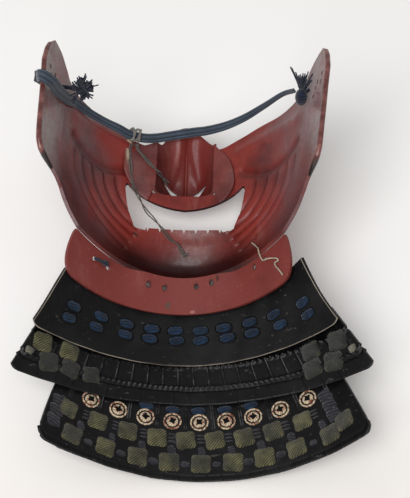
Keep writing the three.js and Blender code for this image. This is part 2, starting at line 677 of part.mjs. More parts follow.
// ---------------------------------------------------------------- cords
/** The thong's knot: a collar round the head cord. */
function thongKnot() {
  const { centre, axis, radius, tube: thick, long } = THONG_KNOT;
  const turn = turnFrom(UP_Z, new THREE.Vector3(...axis));
  const collar = new THREE.TorusGeometry(radius, thick, 6, 12).scale(1, 1, long);
  return collar.applyQuaternion(turn).translate(...centre);
}

/** A knotted, frayed cord end: the locks fan out in a leaning plane, every other one nearer. */
function frayedEnd({ knot, neck, size, neckWide, locks, lockLong, lockWide, fanFrom, fanTo, stagger }) {
  const centre = new THREE.Vector3(...knot);
  const lean = new THREE.Quaternion().setFromAxisAngle(new THREE.Vector3(1, 0, 0), radians(35));
  const ball = new THREE.SphereGeometry(1, 8, 6).rotateX(Math.PI / 2).scale(...size);
  const pieces = [ball.applyQuaternion(lean.clone().invert()).translate(...knot)];
  pieces.push(rod(centre, new THREE.Vector3(...neck), neckWide * 1.3, neckWide));
  for (let i = 0; i < locks; i += 1) {
    const turn = radians(lerp(fanFrom, fanTo, i / (locks - 1)));
    const out = radians((i % 2 ? 1 : -1) * stagger);
    const way = new THREE.Vector3().setFromSphericalCoords(lockLong, Math.PI / 2 - out, 0);
    way.set(way.z * Math.cos(turn), way.z * Math.sin(turn), way.y);
    const end = centre.clone().add(way.applyQuaternion(lean));
    pieces.push(rod(centre, end, lockWide * 0.8, lockWide));
  }
  return join(pieces);
}

function flangeLace() {
  const { route, knot } = FLANGE_LACE;
  return join([tube(route, FLANGE_LACE), new THREE.SphereGeometry(knot, 6, 4).translate(...route.at(-2))]);
}

// ---------------------------------------------------------------- assembly
const mask = new THREE.Group();
mask.rotation.z = radians(MASK_TURN);
mask.position.x = MASK_SHIFT;
mask.add(
  meshOf("mask_shell", maskShell(), redLacquer),
  meshOf("nose_piece", nosePiece(), noseLacquer),
  meshOf("chin_flange", chinFlange(), redLacquer),
);

const throat = new THREE.Group();
for (const one of LAMES) {
  throat.add(meshOf(one.name, lame(one), one.name === "lame_1" ? blackLeather : blackLacquer));
}
const [lameOne, , lameThree] = LAMES.map(({ rows }) => rows);
for (let i = 0; i < LACING.pairs; i += 1) {
  const u = (1 + lerp(LACING.from, LACING.to, i / (LACING.pairs - 1))) / 2;
  throat.add(meshOf(`lacing_${i + 1}`, lacingPair(lameOne, u), navySilk));
}
for (let i = 0; i < ROSETTES.count; i += 1) {
  const share = i / (ROSETTES.count - 1);
  const u = (1 + lerp(-ROSETTES.along, ROSETTES.along, share)) / 2;
  throat.add(meshOf(`rosette_${i + 1}`, rosette(lameThree, u, ROSETTES.down), creamBraid));
  if (i + 1 < LOOPS.first || i + 1 > LOOPS.last) continue;
  throat.add(meshOf(`silk_loop_${i + 1}`, ovalPad(lameThree, u, LOOPS.down, LOOPS), navySilk));
}
for (const one of WEAVES) {
  throat.add(meshOf(one.name, wovenPatch(one), oliveSilk));
}

const plates = new THREE.Group();
plates.add(mask, throat);
plates.position.set(ORIGIN.x, ORIGIN.y, 0);

const faceGuard = new THREE.Group();
faceGuard.add(
  plates,
  meshOf("head_cord", tube(HEAD_CORD.route, HEAD_CORD), slateCord),
  meshOf("left_tassel", frayedEnd(LEFT_TASSEL), navySilk),
  meshOf("right_knot", frayedEnd(RIGHT_KNOT), navySilk),
  meshOf("thong_knot", thongKnot(), greyThong),
  meshOf("thong_long", tube(THONG_LONG.route, THONG_LONG), greyThong),
  meshOf("thong_short", tube(THONG_SHORT.route, THONG_SHORT), greyThong),
  meshOf("twine", tube(TWINE.route, TWINE), paleTwine),
  meshOf("flange_lace", flangeLace(), navySilk),
);

export default faceGuard;
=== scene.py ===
# %% [markdown]
# # A samurai face guard with its throat guard
# The face guard is a half mask of lacquered iron that covers the cheeks, the nose and
# the chin. Three curved plates of leather hang under it and guard the throat. Here it
# lies on a table with the wearer's side up, so we look into its hollow.
#
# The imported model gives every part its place. Each cell below makes one finer piece
# that stands for one or more of its solids.

# %% Load the frame
import json
import math

import bmesh
import bpy
import numpy as np
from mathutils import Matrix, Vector

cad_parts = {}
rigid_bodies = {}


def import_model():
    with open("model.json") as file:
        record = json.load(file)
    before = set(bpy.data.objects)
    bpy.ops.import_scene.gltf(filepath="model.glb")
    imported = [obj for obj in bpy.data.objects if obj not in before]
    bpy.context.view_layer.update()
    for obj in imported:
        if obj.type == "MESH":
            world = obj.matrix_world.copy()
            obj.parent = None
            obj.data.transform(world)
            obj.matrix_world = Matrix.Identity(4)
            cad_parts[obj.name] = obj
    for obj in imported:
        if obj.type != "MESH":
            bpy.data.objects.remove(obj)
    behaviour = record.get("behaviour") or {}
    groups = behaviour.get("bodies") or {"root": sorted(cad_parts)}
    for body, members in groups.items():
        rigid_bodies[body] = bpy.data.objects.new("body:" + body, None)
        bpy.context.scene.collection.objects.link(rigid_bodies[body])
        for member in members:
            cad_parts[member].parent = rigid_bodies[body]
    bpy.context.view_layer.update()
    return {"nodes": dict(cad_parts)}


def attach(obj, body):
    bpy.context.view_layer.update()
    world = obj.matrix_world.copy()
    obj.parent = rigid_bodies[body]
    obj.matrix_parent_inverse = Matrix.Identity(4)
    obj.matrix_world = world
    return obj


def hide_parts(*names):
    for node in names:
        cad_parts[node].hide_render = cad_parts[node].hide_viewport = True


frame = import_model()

print("nodes in the frame:", len(frame["nodes"]))

# %% [markdown]
# ## The camera
# The guard is seen from its lower edge, 55 degrees above the table, as by someone who
# leans over it. A long lens from 0.85 m keeps the perspective weak. The camera comes
# first, because the cords have to stay inside what it sees.

# %% Camera
LOOK_AT = Vector((0.007, 0.0372, 0))
LOOK_DOWN = math.radians(55)
LOOK_FROM = 0.85

camera_data = bpy.data.cameras.new("camera")
camera = bpy.data.objects.new("camera", camera_data)
bpy.context.scene.collection.objects.link(camera)
camera.location = LOOK_AT + LOOK_FROM * Vector((0, -math.cos(LOOK_DOWN), math.sin(LOOK_DOWN)))
camera.rotation_euler = (math.radians(90) - LOOK_DOWN, 0, 0)
camera_data.sensor_fit = "HORIZONTAL"
camera_data.sensor_width = 36
camera_data.lens = 119.4
camera_data.clip_start = 0.01
bpy.context.scene.camera = camera
print("camera at", tuple(round(x, 3) for x in camera.location))

# %% [markdown]
# ## Working in millimetres
# All sizes below are in millimetres, as a maker would note them, and two short
# functions carry them to the frame in metres: one for the mask, which lies a little
# askew, and one for the throat guard. `sample` draws a smooth line through a row of
# measures, so that a few cross-sections are enough to describe a surface.

# %% Placing and sampling
MM = 0.001
ORIGIN = np.array([-8, 68.2, 0])
MASK_TURN = math.radians(-2)
MASK_SHIFT = np.array([3, 0, 0])


def place_mask(points):
    """Points of the mask, in its own millimetres, as metres in the frame."""
    c, s = math.cos(MASK_TURN), math.sin(MASK_TURN)
    turned = points @ np.array([[c, s, 0], [-s, c, 0], [0, 0, 1]])
    return (turned + MASK_SHIFT + ORIGIN) * MM


def place_throat(points):
    """Points of the throat guard, in its own millimetres, as metres in the frame."""
    return (points + ORIGIN) * MM


def sample(measures, at):
    """A smooth line through the measures, at 0 (the first) to 1 (the last)."""
    measures = np.asarray(measures, float)
    last = len(measures) - 1
    place = np.clip(at, 0, 1) * last
    row = np.minimum(np.floor(place).astype(int), last - 1)
    f = place - row
    a, b, c, d = (measures[np.clip(row + step, 0, last)] for step in (-1, 0, 1, 2))
    bend, twist = 2 * a - 5 * b + 4 * c - d, 3 * b - a - 3 * c + d
    return 0.5 * (2 * b + (c - a) * f + bend * f**2 + twist * f**3)


def lerp(a, b, share):
    return a + (b - a) * share


def smoothstep(x, low, high):
    x = np.clip((x - low) / (high - low), 0, 1)
    return x * x * (3 - 2 * x)


def normals(surface, u, v, step=1e-3):
    """The upward normal of a surface whose u runs to the right and v towards its lower edge."""
    across = surface(u + step, v) - surface(u - step, v)
    down = surface(u, v + step) - surface(u, v - step)
    normal = np.cross(down, across)
    return normal / np.linalg.norm(normal, axis=-1, keepdims=True)


# %% [markdown]
# ## One helper makes every curved sheet and tube
# `bmesh.ops.create_grid` gives a flat net with a UV map. A piece's own function says
# where each of its points goes, as pressing a sheet over a form would. Rolled round
# until its sides meet, the same net is a cord, and its UV map then runs round and
# along it, which is what a weave needs.

# %% A net pressed to a shape
def net(columns, rows, shape):
    """A bmesh net: shape(u, v) gives its points in metres; u is 0-1 across, v 0-1 down."""
    bm = bmesh.new()
    bm.loops.layers.uv.new("UVMap")
    bmesh.ops.create_grid(bm, x_segments=columns, y_segments=rows, size=1, calc_uvs=True)
    flat = np.array([vert.co[:2] for vert in bm.verts])
    for vert, point in zip(bm.verts, shape((flat[:, 0] + 1) / 2, (1 - flat[:, 1]) / 2)):
        vert.co = point
    return bm


def piece(name, bm, material, replaces=(), smooth_below=50):
    """Closes a bmesh into an object of the part that rides on its body."""
    mesh = bpy.data.meshes.new(name)
    bm.to_mesh(mesh)
    bm.free()
    mesh.materials.append(material)
    for polygon in mesh.polygons:
        polygon.use_smooth = True
    mesh.set_sharp_from_angle(angle=math.radians(smooth_below))
    made = bpy.data.objects.new(name, mesh)
    bpy.context.scene.collection.objects.link(made)
    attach(made, "root")
    if replaces:
        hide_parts(*replaces)
    return made


def cut(target, *cutters, keep="DIFFERENCE", solver="EXACT"):
    """Takes closed bmeshes away from an object, or with INTERSECT keeps what is inside them."""
    for cutter in cutters:
        mesh = bpy.data.meshes.new("cutter")
        cutter.to_mesh(mesh)
        cutter.free()
        tool = bpy.data.objects.new("cutter", mesh)
        bpy.context.scene.collection.objects.link(tool)
        saw = target.modifiers.new("saw", "BOOLEAN")
        saw.operation = keep
        saw.solver = solver
        saw.object = tool
    keep_result(target)
    for other in [o for o in bpy.data.objects if o.name.startswith("cutter")]:
        bpy.data.objects.remove(other)


def keep_result(target):
    """Applies an object's modifiers."""
    ready = target.evaluated_get(bpy.context.evaluated_depsgraph_get())
    old, target.data = target.data, bpy.data.meshes.new_from_object(ready)
    target.modifiers.clear()
    name = old.name
    bpy.data.meshes.remove(old)
    target.data.name = name


def thicken(target, wall):
    """Gives a sheet its wall, on the side away from its normal."""
    solid = target.modifiers.new("wall", "SOLIDIFY")
    solid.thickness = wall * MM
    solid.offset = -1


def report(target):
    triangles = sum(len(p.vertices) - 2 for p in target.data.polygons)
    size = [round(x * 1000, 1) for x in target.dimensions]
    print(f"{target.name}: {triangles} triangles, {size} mm")


# %% [markdown]
# ## A short hand for materials
# Every finish is a Principled shader with a few nodes that vary its colour, its
# roughness and its relief. `Finish` keeps the wiring to one line a node. Patterns
# read Object coordinates, in metres, or the piece's UV map where they follow a weave.

# %% Finish
class Finish:
    def __init__(self, name, **sockets):
        self.material = bpy.data.materials.new(name)
        self.material.use_nodes = True
        self.tree = self.material.node_tree
        self.shader = self.tree.nodes["Principled BSDF"]
        self.place = self.add("ShaderNodeTexCoord")
        for socket, value in sockets.items():
            self.shader.inputs[socket.replace("_", " ")].default_value = value

    def add(self, kind, settings=None, **inputs):
        """A node; an input is a number, a colour or another node's output."""
        node = self.tree.nodes.new(kind)
        for key, value in (settings or {}).items():
            setattr(node, key, value)
        for key, value in inputs.items():
            socket = node.inputs[key.replace("_", " ")]
            if isinstance(value, bpy.types.NodeSocket):
                self.tree.links.new(value, socket)
            else:
                socket.default_value = value
        return node

    def times(self, a, b):
        return self.math("MULTIPLY", a, b)

    def plus(self, a, b):
        return self.math("ADD", a, b)

    def noise(self, scale, detail=4, rough=0.6, source="Object", stretch=None):
        where = self.place.outputs[source]
        if stretch:
            where = self.add("ShaderNodeMapping", Vector=where, Scale=stretch).outputs[0]
        made = self.add("ShaderNodeTexNoise", Vector=where, Scale=scale, Detail=detail, Roughness=rough)
        return made.outputs["Fac"]

    def step(self, value, low, high, to_low=0.0, to_high=1.0):
        made = self.add("ShaderNodeMapRange", {"interpolation_type": "SMOOTHSTEP"}, Value=value,
                        From_Min=low, From_Max=high, To_Min=to_low, To_Max=to_high)
        return made.outputs["Result"]

    def math(self, operation, a, b=0.0, c=0.0):
        node = self.tree.nodes.new("ShaderNodeMath")
        node.operation = operation
        for socket, value in zip(node.inputs, (a, b, c)):
            if isinstance(value, bpy.types.NodeSocket):
                self.tree.links.new(value, socket)
            else:
                socket.default_value = value
        return node.outputs[0]

    def mix(self, a, b, factor):
        node = self.tree.nodes.new("ShaderNodeMix")
        node.data_type = "RGBA"
        for index, value in ((0, factor), (6, a), (7, b)):
            socket = node.inputs[index]
            if isinstance(value, bpy.types.NodeSocket):
                self.tree.links.new(value, socket)
            else:
                socket.default_value = value if index == 0 or len(value) == 4 else (*value, 1)
        return node.outputs[2]

    def split(self, source="Object"):
        return self.add("ShaderNodeSeparateXYZ", Vector=self.place.outputs[source]).outputs

    def bump(self, *layers):
        """Stacks relief: each layer is (height, distance in mm, strength)."""
        below = None
        for height, distance, strength in layers:
            node = self.add("ShaderNodeBump", Height=height, Distance=distance * MM, Strength=strength)
            if below:
                self.tree.links.new(below, node.inputs["Normal"])
            below = node.outputs["Normal"]
        self.wire(below, "Normal")

    def wire(self, output, socket):
        self.tree.links.new(output, self.shader.inputs[socket])


def colour(code):
    """A colour written as on a paint card, such as 7c3a33, in the shader's linear scale."""
    parts = [int(code[i:i + 2], 16) / 255 for i in (0, 2, 4)]
    return tuple(x / 12.92 if x < 0.04045 else ((x + 0.055) / 1.055) ** 2.4 for x in parts)


# %% [markdown]
# ## Silk and cotton
# A cord's weave follows the cord, so these finishes read the UV map: u runs round the
# cord and v along it. The head cord is a flat band with ribs along its length; the
# thong and the twine are twisted, which is a wave that runs slantwise.

# %% Cord finishes
def twisted(name, dark, light, turns, lines, fuzz=0.35):
    """A twisted cord: slanting strands, soft sheen and a little dirt."""
    f = Finish(name, Roughness=0.85, Sheen_Weight=fuzz, Specular_IOR_Level=0.25)
    u, v = f.split("UV")[0:2]
    slant = f.plus(f.times(u, lines), f.times(v, turns))
    strand = f.math("ABSOLUTE", f.math("SINE", f.times(slant, math.pi)))
    worn = f.noise(260, 3)
    tone = f.mix(colour(dark), colour(light), f.times(strand, f.step(worn, 0.2, 0.75, 0.35, 1)))
    f.wire(tone, "Base Color")
    f.bump((strand, 0.35, 0.8), (worn, 0.12, 0.5))
    return f.material


def ribbed(name, dark, light, ribs):
    """A flat woven band with ribs along its length."""
    f = Finish(name, Roughness=0.8, Sheen_Weight=0.3, Specular_IOR_Level=0.3)
    u, v = f.split("UV")[0:2]
    rib = f.math("ABSOLUTE", f.math("SINE", f.times(u, math.pi * ribs)))
    pick = f.math("ABSOLUTE", f.math("SINE", f.times(v, math.pi * 220)))
    worn = f.noise(90, 5)
    lit = f.times(rib, f.step(worn, 0.25, 0.7, 0.55, 1))
    f.wire(f.mix(colour(dark), colour(light), lit), "Base Color")
    f.bump((rib, 0.3, 0.7), (pick, 0.12, 0.4))
    return f.material


slate_band = ribbed("slate_braid", "0f151d", "434f5f", 9)
grey_thong = twisted("leather_thong", "1c1816", "6b635a", 60, 2)
knot_thong = twisted("worn_leather_thong", "2b2623", "9a9288", 60, 2)
pale_twine = twisted("hemp_twine", "7d705c", "c9bda4", 60, 2)
navy_tassel = twisted("loose_navy_silk", "05080f", "1f2c44", 9, 2, 0.2)
print("cord finishes:", [m.name for m in (slate_band, grey_thong, pale_twine, navy_tassel)])

# %% [markdown]
# ## The cords
# Each cord is a net rolled round its route. The route is a list of points along the
# cord's middle, in millimetres, as it lies on the mask. A flat band also needs to know
# which way its face looks, so a list of leans, in degrees, turns it about its length.

# %% Routes
def smooth_route(points, count):
    """Evenly spaced points, in metres, on a smooth curve through a route in millimetres."""
    p = np.array(points, float)
    p = np.vstack([2 * p[0] - p[1], p, 2 * p[-1] - p[-2]])
    knots = np.concatenate([[0], np.cumsum(np.linalg.norm(np.diff(p, axis=0), axis=1) ** 0.5)])
    line = []
    for i in range(1, len(p) - 2):
        t = np.linspace(knots[i], knots[i + 1], 24, endpoint=False)[:, None]
        t0, t1, t2, t3 = knots[i - 1:i + 3]
        a1 = (t1 - t) / (t1 - t0) * p[i - 1] + (t - t0) / (t1 - t0) * p[i]
        a2 = (t2 - t) / (t2 - t1) * p[i] + (t - t1) / (t2 - t1) * p[i + 1]
        a3 = (t3 - t) / (t3 - t2) * p[i + 1] + (t - t2) / (t3 - t2) * p[i + 2]
        b1 = (t2 - t) / (t2 - t0) * a1 + (t - t0) / (t2 - t0) * a2
        b2 = (t3 - t) / (t3 - t1) * a2 + (t - t1) / (t3 - t1) * a3
        line.append((t2 - t) / (t2 - t1) * b1 + (t - t1) / (t2 - t1) * b2)
    line = np.vstack([*line, p[-2:-1]])
    along = np.concatenate([[0], np.cumsum(np.linalg.norm(np.diff(line, axis=0), axis=1))])
    even = np.linspace(0, along[-1], count)
    return np.stack([np.interp(even, along, line[:, k]) for k in range(3)], 1) * MM


def length_of(line):
    return float(np.linalg.norm(np.diff(line, axis=0), axis=1).sum())


def rolled(line, sides, section, up=(0, -0.574, 0.819), lean=(0, 0)):
    """A closed net round a line: section(turn, along) gives (side, up) offsets in mm."""
    rows = len(line) - 1
    tangent = np.gradient(line, axis=0)
    tangent /= np.linalg.norm(tangent, axis=1, keepdims=True)
    top = np.array(up) - tangent * (tangent @ np.array(up))[:, None]
    top /= np.linalg.norm(top, axis=1, keepdims=True)
    side = np.cross(tangent, top)
    angle = np.radians(sample(lean, np.linspace(0, 1, rows + 1)))[:, None]
    top, side = top * np.cos(angle) + side * np.sin(angle), side * np.cos(angle) - top * np.sin(angle)

    def shape(u, v):
        i = np.rint(v * rows).astype(int)
        a, b = section(u * 2 * math.pi, v)
        return line[i] + (side[i] * a[:, None] + top[i] * b[:, None]) * MM

    bm = net(sides, rows, shape)
    bmesh.ops.remove_doubles(bm, verts=bm.verts, dist=1e-6)
    ends = [e for e in bm.edges if e.is_boundary]
    bmesh.ops.holes_fill(bm, edges=ends, sides=0)
    bmesh.ops.recalc_face_normals(bm, faces=bm.faces)
    return bm


def round_section(wide, taper=0.0):
    """A round cord; taper draws both ends in by that share."""
    def section(turn, along):
        r = wide / 2 * (1 - taper * np.abs(2 * along - 1) ** 8)
        return r * np.cos(turn), r * np.sin(turn)
    return section


print("a route of 3 points:", smooth_route([(0, 0, 0), (5, 1, 0), (10, 0, 0)], 4).round(4).tolist())

# %% [markdown]
# ## The head cord
# A flat navy band goes over the head. It leaves the left ear plate on its outside,
# turns over the plate's edge, hangs across the brow and ends in a knot at the right
# ear plate. It is broad where it lies flat, and narrow where the thong grips it and
# where it turns its edge to the viewer.

# %% Head cord
HEAD_ROUTE = [
    [-86.2, 94.4, 90], [-89.1, 89.9, 99], [-90.2, 84.5, 107.6], [-87, 81.3, 111.6],
    [-82.3, 80.5, 107.8], [-78.6, 84.6, 94], [-75, 89.8, 81.6], [-70.6, 95.4, 70.5],
    [-65, 96.4, 62.5], [-59.2, 96.6, 56.5], [-53.2, 96.3, 51.5], [-46.9, 96.1, 46.8],
    [-40.5, 95.8, 41.2], [-31.3, 96.3, 37], [-23.3, 100.1, 32.5], [-15.2, 103.8, 30],
    [-7, 105.9, 29.5], [1.3, 106.7, 30.5], [7, 105.4, 33], [19.6, 103.6, 40],
    [31.3, 101.7, 50], [43.2, 100.2, 63], [54, 96.7, 78], [60.2, 91.5, 87],
]
BAND_THICK = 1.5
band_wide = [6.6, 7, 7, 6.8, 5.4, 4.8, 5.6, 6, 6, 5.8, 5, 4.2, 3.4, 3]
band_lean = [0, 0, 0, 0, 0, 0, 0, 0, 0, 0, 0, 20, 30, 30]


def band_section(turn, along):
    wide = sample(band_wide, along) / 2
    c, s = np.cos(turn), np.sin(turn)
    return wide * np.sign(c) * np.abs(c) ** 0.8, BAND_THICK / 2 * np.sign(s) * np.abs(s) ** 0.6


head_line = smooth_route(HEAD_ROUTE, 260)
head_band = piece("head_band", rolled(head_line, 48, band_section, lean=band_lean), slate_band,
                  ["head_cord"])
report(head_band)

# %% [markdown]
# ## The thong and the twine
# A thin leather-brown cord is knotted round the band. Its longer end lies over the lip
# towards the chin, and its shorter one, doubled, goes down a nostril. A thin pale
# twine hangs out of the flange's right hand side.

# %% Thong and twine
THONG_LONG_ROUTE = [
    [-37.6, 91.7, 37.1], [-39.3, 89.7, 37.2], [-39.8, 87.1, 36.7], [-39.7, 81.8, 36.3],
    [-39, 73.9, 35.2], [-38.4, 66.9, 34.2], [-36.8, 61.1, 32.6], [-34.9, 58.2, 29.8],
    [-29.4, 50.1, 23.2], [-24.5, 45.4, 20.5], [-19, 38.2, 19.4], [-15.3, 34.4, 16],
    [-12.1, 32.8, 13.9], [-9.6, 31.7, 12.7], [-7.8, 29.1, 10.5], [-6, 26.9, 8.7],
]
THONG_SHORT_ROUTE = [
    [-35.4, 91.8, 36.9], [-35.3, 89.4, 35.2], [-33.7, 87.3, 34], [-31.8, 85.3, 33],
    [-29.9, 83.3, 32.1], [-27.9, 81.3, 31.2], [-25.9, 79.2, 30.5], [-23.9, 77.6, 29.5],
    [-22.6, 77.9, 26.9], [-21.7, 78.6, 24.2], [-21, 79.3, 21.4], [-20.3, 80.1, 18.7],
    [-19.4, 80.7, 16], [-18.1, 80.7, 13.3], [-16.6, 80.5, 10.8],
]
TWINE_ROUTE = [
    [35.2, 21.9, 28.3], [36.3, 19.8, 29.7], [37.2, 17.7, 31.2], [37.6, 15.8, 33.1],
    [37.7, 13.9, 35.1], [37.8, 12.2, 37.2], [37.9, 10.5, 39.3], [37.9, 9, 41.6],
    [38, 7.4, 43.9], [38, 5.6, 45.9], [38, 3.5, 47.6], [38.4, 1.1, 47.7],
    [39.3, -0.8, 46.1], [40.6, -3, 46], [42.5, -3.5, 47.9], [44.5, -4.1, 49.7],
    [46.4, -5.1, 51.3], [48.3, -6.4, 52.8], [49.1, -7.8, 53], [47.2, -8.1, 50.9],
    [47.5, -10, 50.5], [48.9, -12.3, 51], [50.2, -14.7, 51.3], [51.4, -17.1, 51.6],
]
long_line = smooth_route(THONG_LONG_ROUTE, 150)
short_line = smooth_route(THONG_SHORT_ROUTE, 80)
twine_line = smooth_route(TWINE_ROUTE, 130)


def two_strand(wide):
    """Two strands side by side that turn about each other: a round cord with a waist."""
    def section(turn, along):
        twist = along * math.pi * 14
        r = wide / 2 * (0.72 + 0.28 * np.abs(np.cos(turn - twist)))
        return r * np.cos(turn), r * np.sin(turn)
    return section


def strands(line, gap, wide, twists, spread=0.0):
    """Two loose strands that lie beside each other along a line and cross now and then."""
    along = np.linspace(0, 1, len(line))
    tangent = np.gradient(line, axis=0)
    side = np.cross(tangent, (0, -0.574, 0.819))
    side /= np.linalg.norm(side, axis=1, keepdims=True)
    top = np.cross(side, tangent / np.linalg.norm(tangent, axis=1, keepdims=True))
    made = []
    for phase in (0, math.pi):
        turn = phase + along * twists * 2 * math.pi
        far = (gap + spread * along) / 2
        path = line + (side * (far * np.cos(turn))[:, None] + top * (0.4 * gap * np.sin(turn))[:, None]) * MM
        made.append(rolled(path, 8, round_section(wide)))
    return made


def join(nets):
    """Joins small nets into one."""
    whole = bmesh.new()
    whole.loops.layers.uv.new("UVMap")
    for small in nets:
        mesh = bpy.data.meshes.new("small")
        small.to_mesh(mesh)
        small.free()
        whole.from_mesh(mesh)
        bpy.data.meshes.remove(mesh)
    return whole


def frayed_end(end):
    """The end's small knot: three short loops of thread, in metres."""
    ways = ((2.5, -0.5, 1.2), (1.4, -2.2, 1.5), (-0.3, -2.5, 1.4))
    return [rolled(smooth_route([end / MM, end / MM + way, end / MM + np.array(way) * (0.4, 0.9, 0.2)], 14),
                   8,
                   round_section(0.7)) for way in map(np.array, ways)]


thong_long = piece("thong_to_chin", join(strands(long_line, 1.5, 0.8, 2.5)), grey_thong, ["thong_long"])
frayed_knot = piece("frayed_knot", join(frayed_end(long_line[-1])), grey_thong)
thong_short = piece("thong_to_nostril", join(strands(short_line, 1.0, 0.95, 1.5, 0.8)), grey_thong,
                    ["thong_short"])
twine = piece("twine_end", rolled(twine_line, 8, round_section(0.8)), pale_twine, ["twine"])
for made in (thong_long, thong_short, twine):
    report(made)

# %% [markdown]
# ## Red lacquer
# The iron is covered with ground coats and red lacquer. It is glossy, with darker patches
# where it is old and thick. Its red is painted darker low in the hollow and lighter higher
# up, as painted shade and light, and darker still, as painted shade, in the fold under the
# chin and along the wrinkles. A greyer film on the ear plates and the cheeks' edges is part
# bloom and part a painted reflection of the pale room. Fine dust and scratches break the gloss.

# %% Lacquer finishes
def lacquer(name, deep, lit, bloom_and_reflection, bloom_and_reflection_from, gloss=0.34, dust=0.12, old=0.6):
    """Red lacquer with painted shade below and painted light above, and a grey film, part bloom and part
    painted reflection, from a given distance off the middle in mm.
    """
    f = Finish(name, Coat_Weight=0.15, Coat_Roughness=0.16, Specular_IOR_Level=0.28)
    x, _, z = f.split()[0:3]
    cloud, broad = f.noise(38, 5, 0.6), f.noise(21, 5, 0.65)
    fine = f.noise(420, 4, 0.7)
    streak = f.noise(85, 5, 0.7, stretch=(1, 0.3, 0.3))
    # Painted shade and light: the red takes the deep tone low in the hollow and the lit tone higher up.
    height = f.step(f.plus(z, f.times(cloud, 0.03)), 0.008, 0.045)
    red = f.mix(colour(deep), colour(lit), height)
    red = f.mix(red, colour("2b0709"), f.step(broad, 0.48, 0.72, 0, old))
    red = f.mix(red, colour("96605a"), f.step(streak, 0.55, 0.75, 0, old * 0.6))
    # A grey film off the middle, on the cheeks' edges and the ear plates: partly bloom on the lacquer, partly
    # a painted reflection of the pale room.
    off = f.plus(f.math("ABSOLUTE", f.plus(x, 0.003)), f.times(cloud, 0.03))
    bloom_and_reflection_film = f.times(f.step(off, bloom_and_reflection_from * MM, (bloom_and_reflection_from + 26) * MM),
                  f.step(streak, 0.3, 0.62, 0.3, 1))
    red = f.mix(red, f.mix(colour(bloom_and_reflection), colour("3a2226"), f.step(broad, 0.4, 0.62, 0, 0.7)), bloom_and_reflection_film)
    chalky = f.times(f.step(z, 0.075, 0.1), f.step(streak, 0.35, 0.65, 0.2, 0.8))
    red = f.mix(red, colour("8f8583"), chalky)
    specks = f.step(f.noise(900, 2, 0.5), 0.68, 0.74)
    red = f.mix(red, colour("b7a79b"), f.times(specks, dust))
    f.wire(f.step(fine, 0.3, 0.75, gloss, gloss + 0.22), "Roughness")
    f.bump((cloud, 1.6, 0.2), (streak, 0.5, 0.25), (fine, 0.15, 0.15))
    return f, red


def spot(f, tone, at, half, code, strength=0.8):
    """A soft-edged round mark round one place of the UV map."""
    u, v = f.split("UV")[0:2]
    off = [f.math("DIVIDE", f.math("SUBTRACT", side, middle), wide) for side, middle,
           wide in zip((u, v), at, half)]
    away = f.math("SQRT", f.plus(f.times(off[0], off[0]),
                                 f.times(off[1], off[1])))
    away = f.plus(away, f.times(f.math("SUBTRACT", f.noise(300, 3), 0.5), 0.8))
    return f.mix(tone, colour(code), f.step(away, 0.55, 1, strength, 0))


# The mask's red: 5c0d09 is painted shade low in the hollow, 7c2a23 painted light higher up, and 6c4648 a grey
# film of bloom and painted reflection.
mask_finish, mask_red = lacquer("bloomed_red_lacquer", "5c0d09", "7c2a23", "6c4648", 52)
# Painted shade in the fold under the chin: the red turns nearly black towards the chin's lower edge, most of
# all in the middle.
chin_side = mask_finish.split("UV")[1]
chin_middle = mask_finish.math("ABSOLUTE", mask_finish.plus(mask_finish.split()[0], 0.007))
chin_painted_shade = mask_finish.times(mask_finish.step(chin_side, 0.3, 0.49, 0.92, 0),
                             mask_finish.step(chin_middle, 0.03, 0.055, 1, 0.35))
mask_red = mask_finish.mix(mask_red, colour("1c0202"), chin_painted_shade)
mask_red = spot(mask_finish, mask_red, (0.357, 0.49), (0.01, 0.014), "2e1a0c")
# Painted shade along the wrinkles: the red darkens where the sheet sinks deepest.
crease = mask_finish.add("ShaderNodeAttribute", {"attribute_name": "crease"}).outputs["Fac"]
mask_red = mask_finish.mix(mask_red, colour("1d0507"), mask_finish.step(crease, 0.1, 1.0, 0, 0.34))
mask_finish.wire(mask_red, "Base Color")
mask_lacquer = mask_finish.material
# The nose's red: painted shade low in its hollow, painted light higher up, and a grey film on the lugs, part
# bloom and part painted reflection.
nose_finish, nose_red = lacquer("deep_red_lacquer", "560c08", "732a24", "7a4a47", 20, 0.42)
nose_red = spot(nose_finish, nose_red, (0.035, 0.62), (0.025, 0.3), "b8a58c", 0.85)
# A thin pale line down the nose's ridge is a painted highlight.
nose_red = spot(nose_finish, nose_red, (0.5, 0.55), (0.006, 0.3), "8f5a50", 0.6)
nose_finish.wire(nose_red, "Base Color")
nose_lacquer = nose_finish.material
flange_finish, flange_red = lacquer("dull_red_lacquer", "6b2722", "702e29", "702e29", 90, 0.45, 0.2, 0.3)
for u0, v0, half, code in ((0.453, 0.23, (0.016, 0.12), "4a3a34"), (0.68, 0.88, (0.01, 0.12), "3d1411"),
                           (0.845, 0.83, (0.012, 0.12), "4a3026"), (0.351, 0.7, (0.017, 0.13), "2e130f"),
                           (0.428, 0.7, (0.017, 0.13), "2e130f"), (0.577, 0.76, (0.017, 0.13), "2e130f"),
                           (0.649, 0.8, (0.017, 0.13), "2e2a1c"), (0.56, 0.06, (0.015, 0.06), "96605a")):
    flange_red = spot(flange_finish, flange_red, (u0, v0), half, code)
flange_finish.wire(flange_red, "Base Color")
flange_lacquer = flange_finish.material
print("lacquers:", [m.name for m in (mask_lacquer, nose_lacquer, flange_lacquer)])

# %% [markdown]
# ## The mask's surface
# Eleven cross-sections, from the brow to the fold under the chin, give the inner face.
# Each is a part of a circle that runs on straight into the ear plates, as far as the
# plate's own outline lets it.

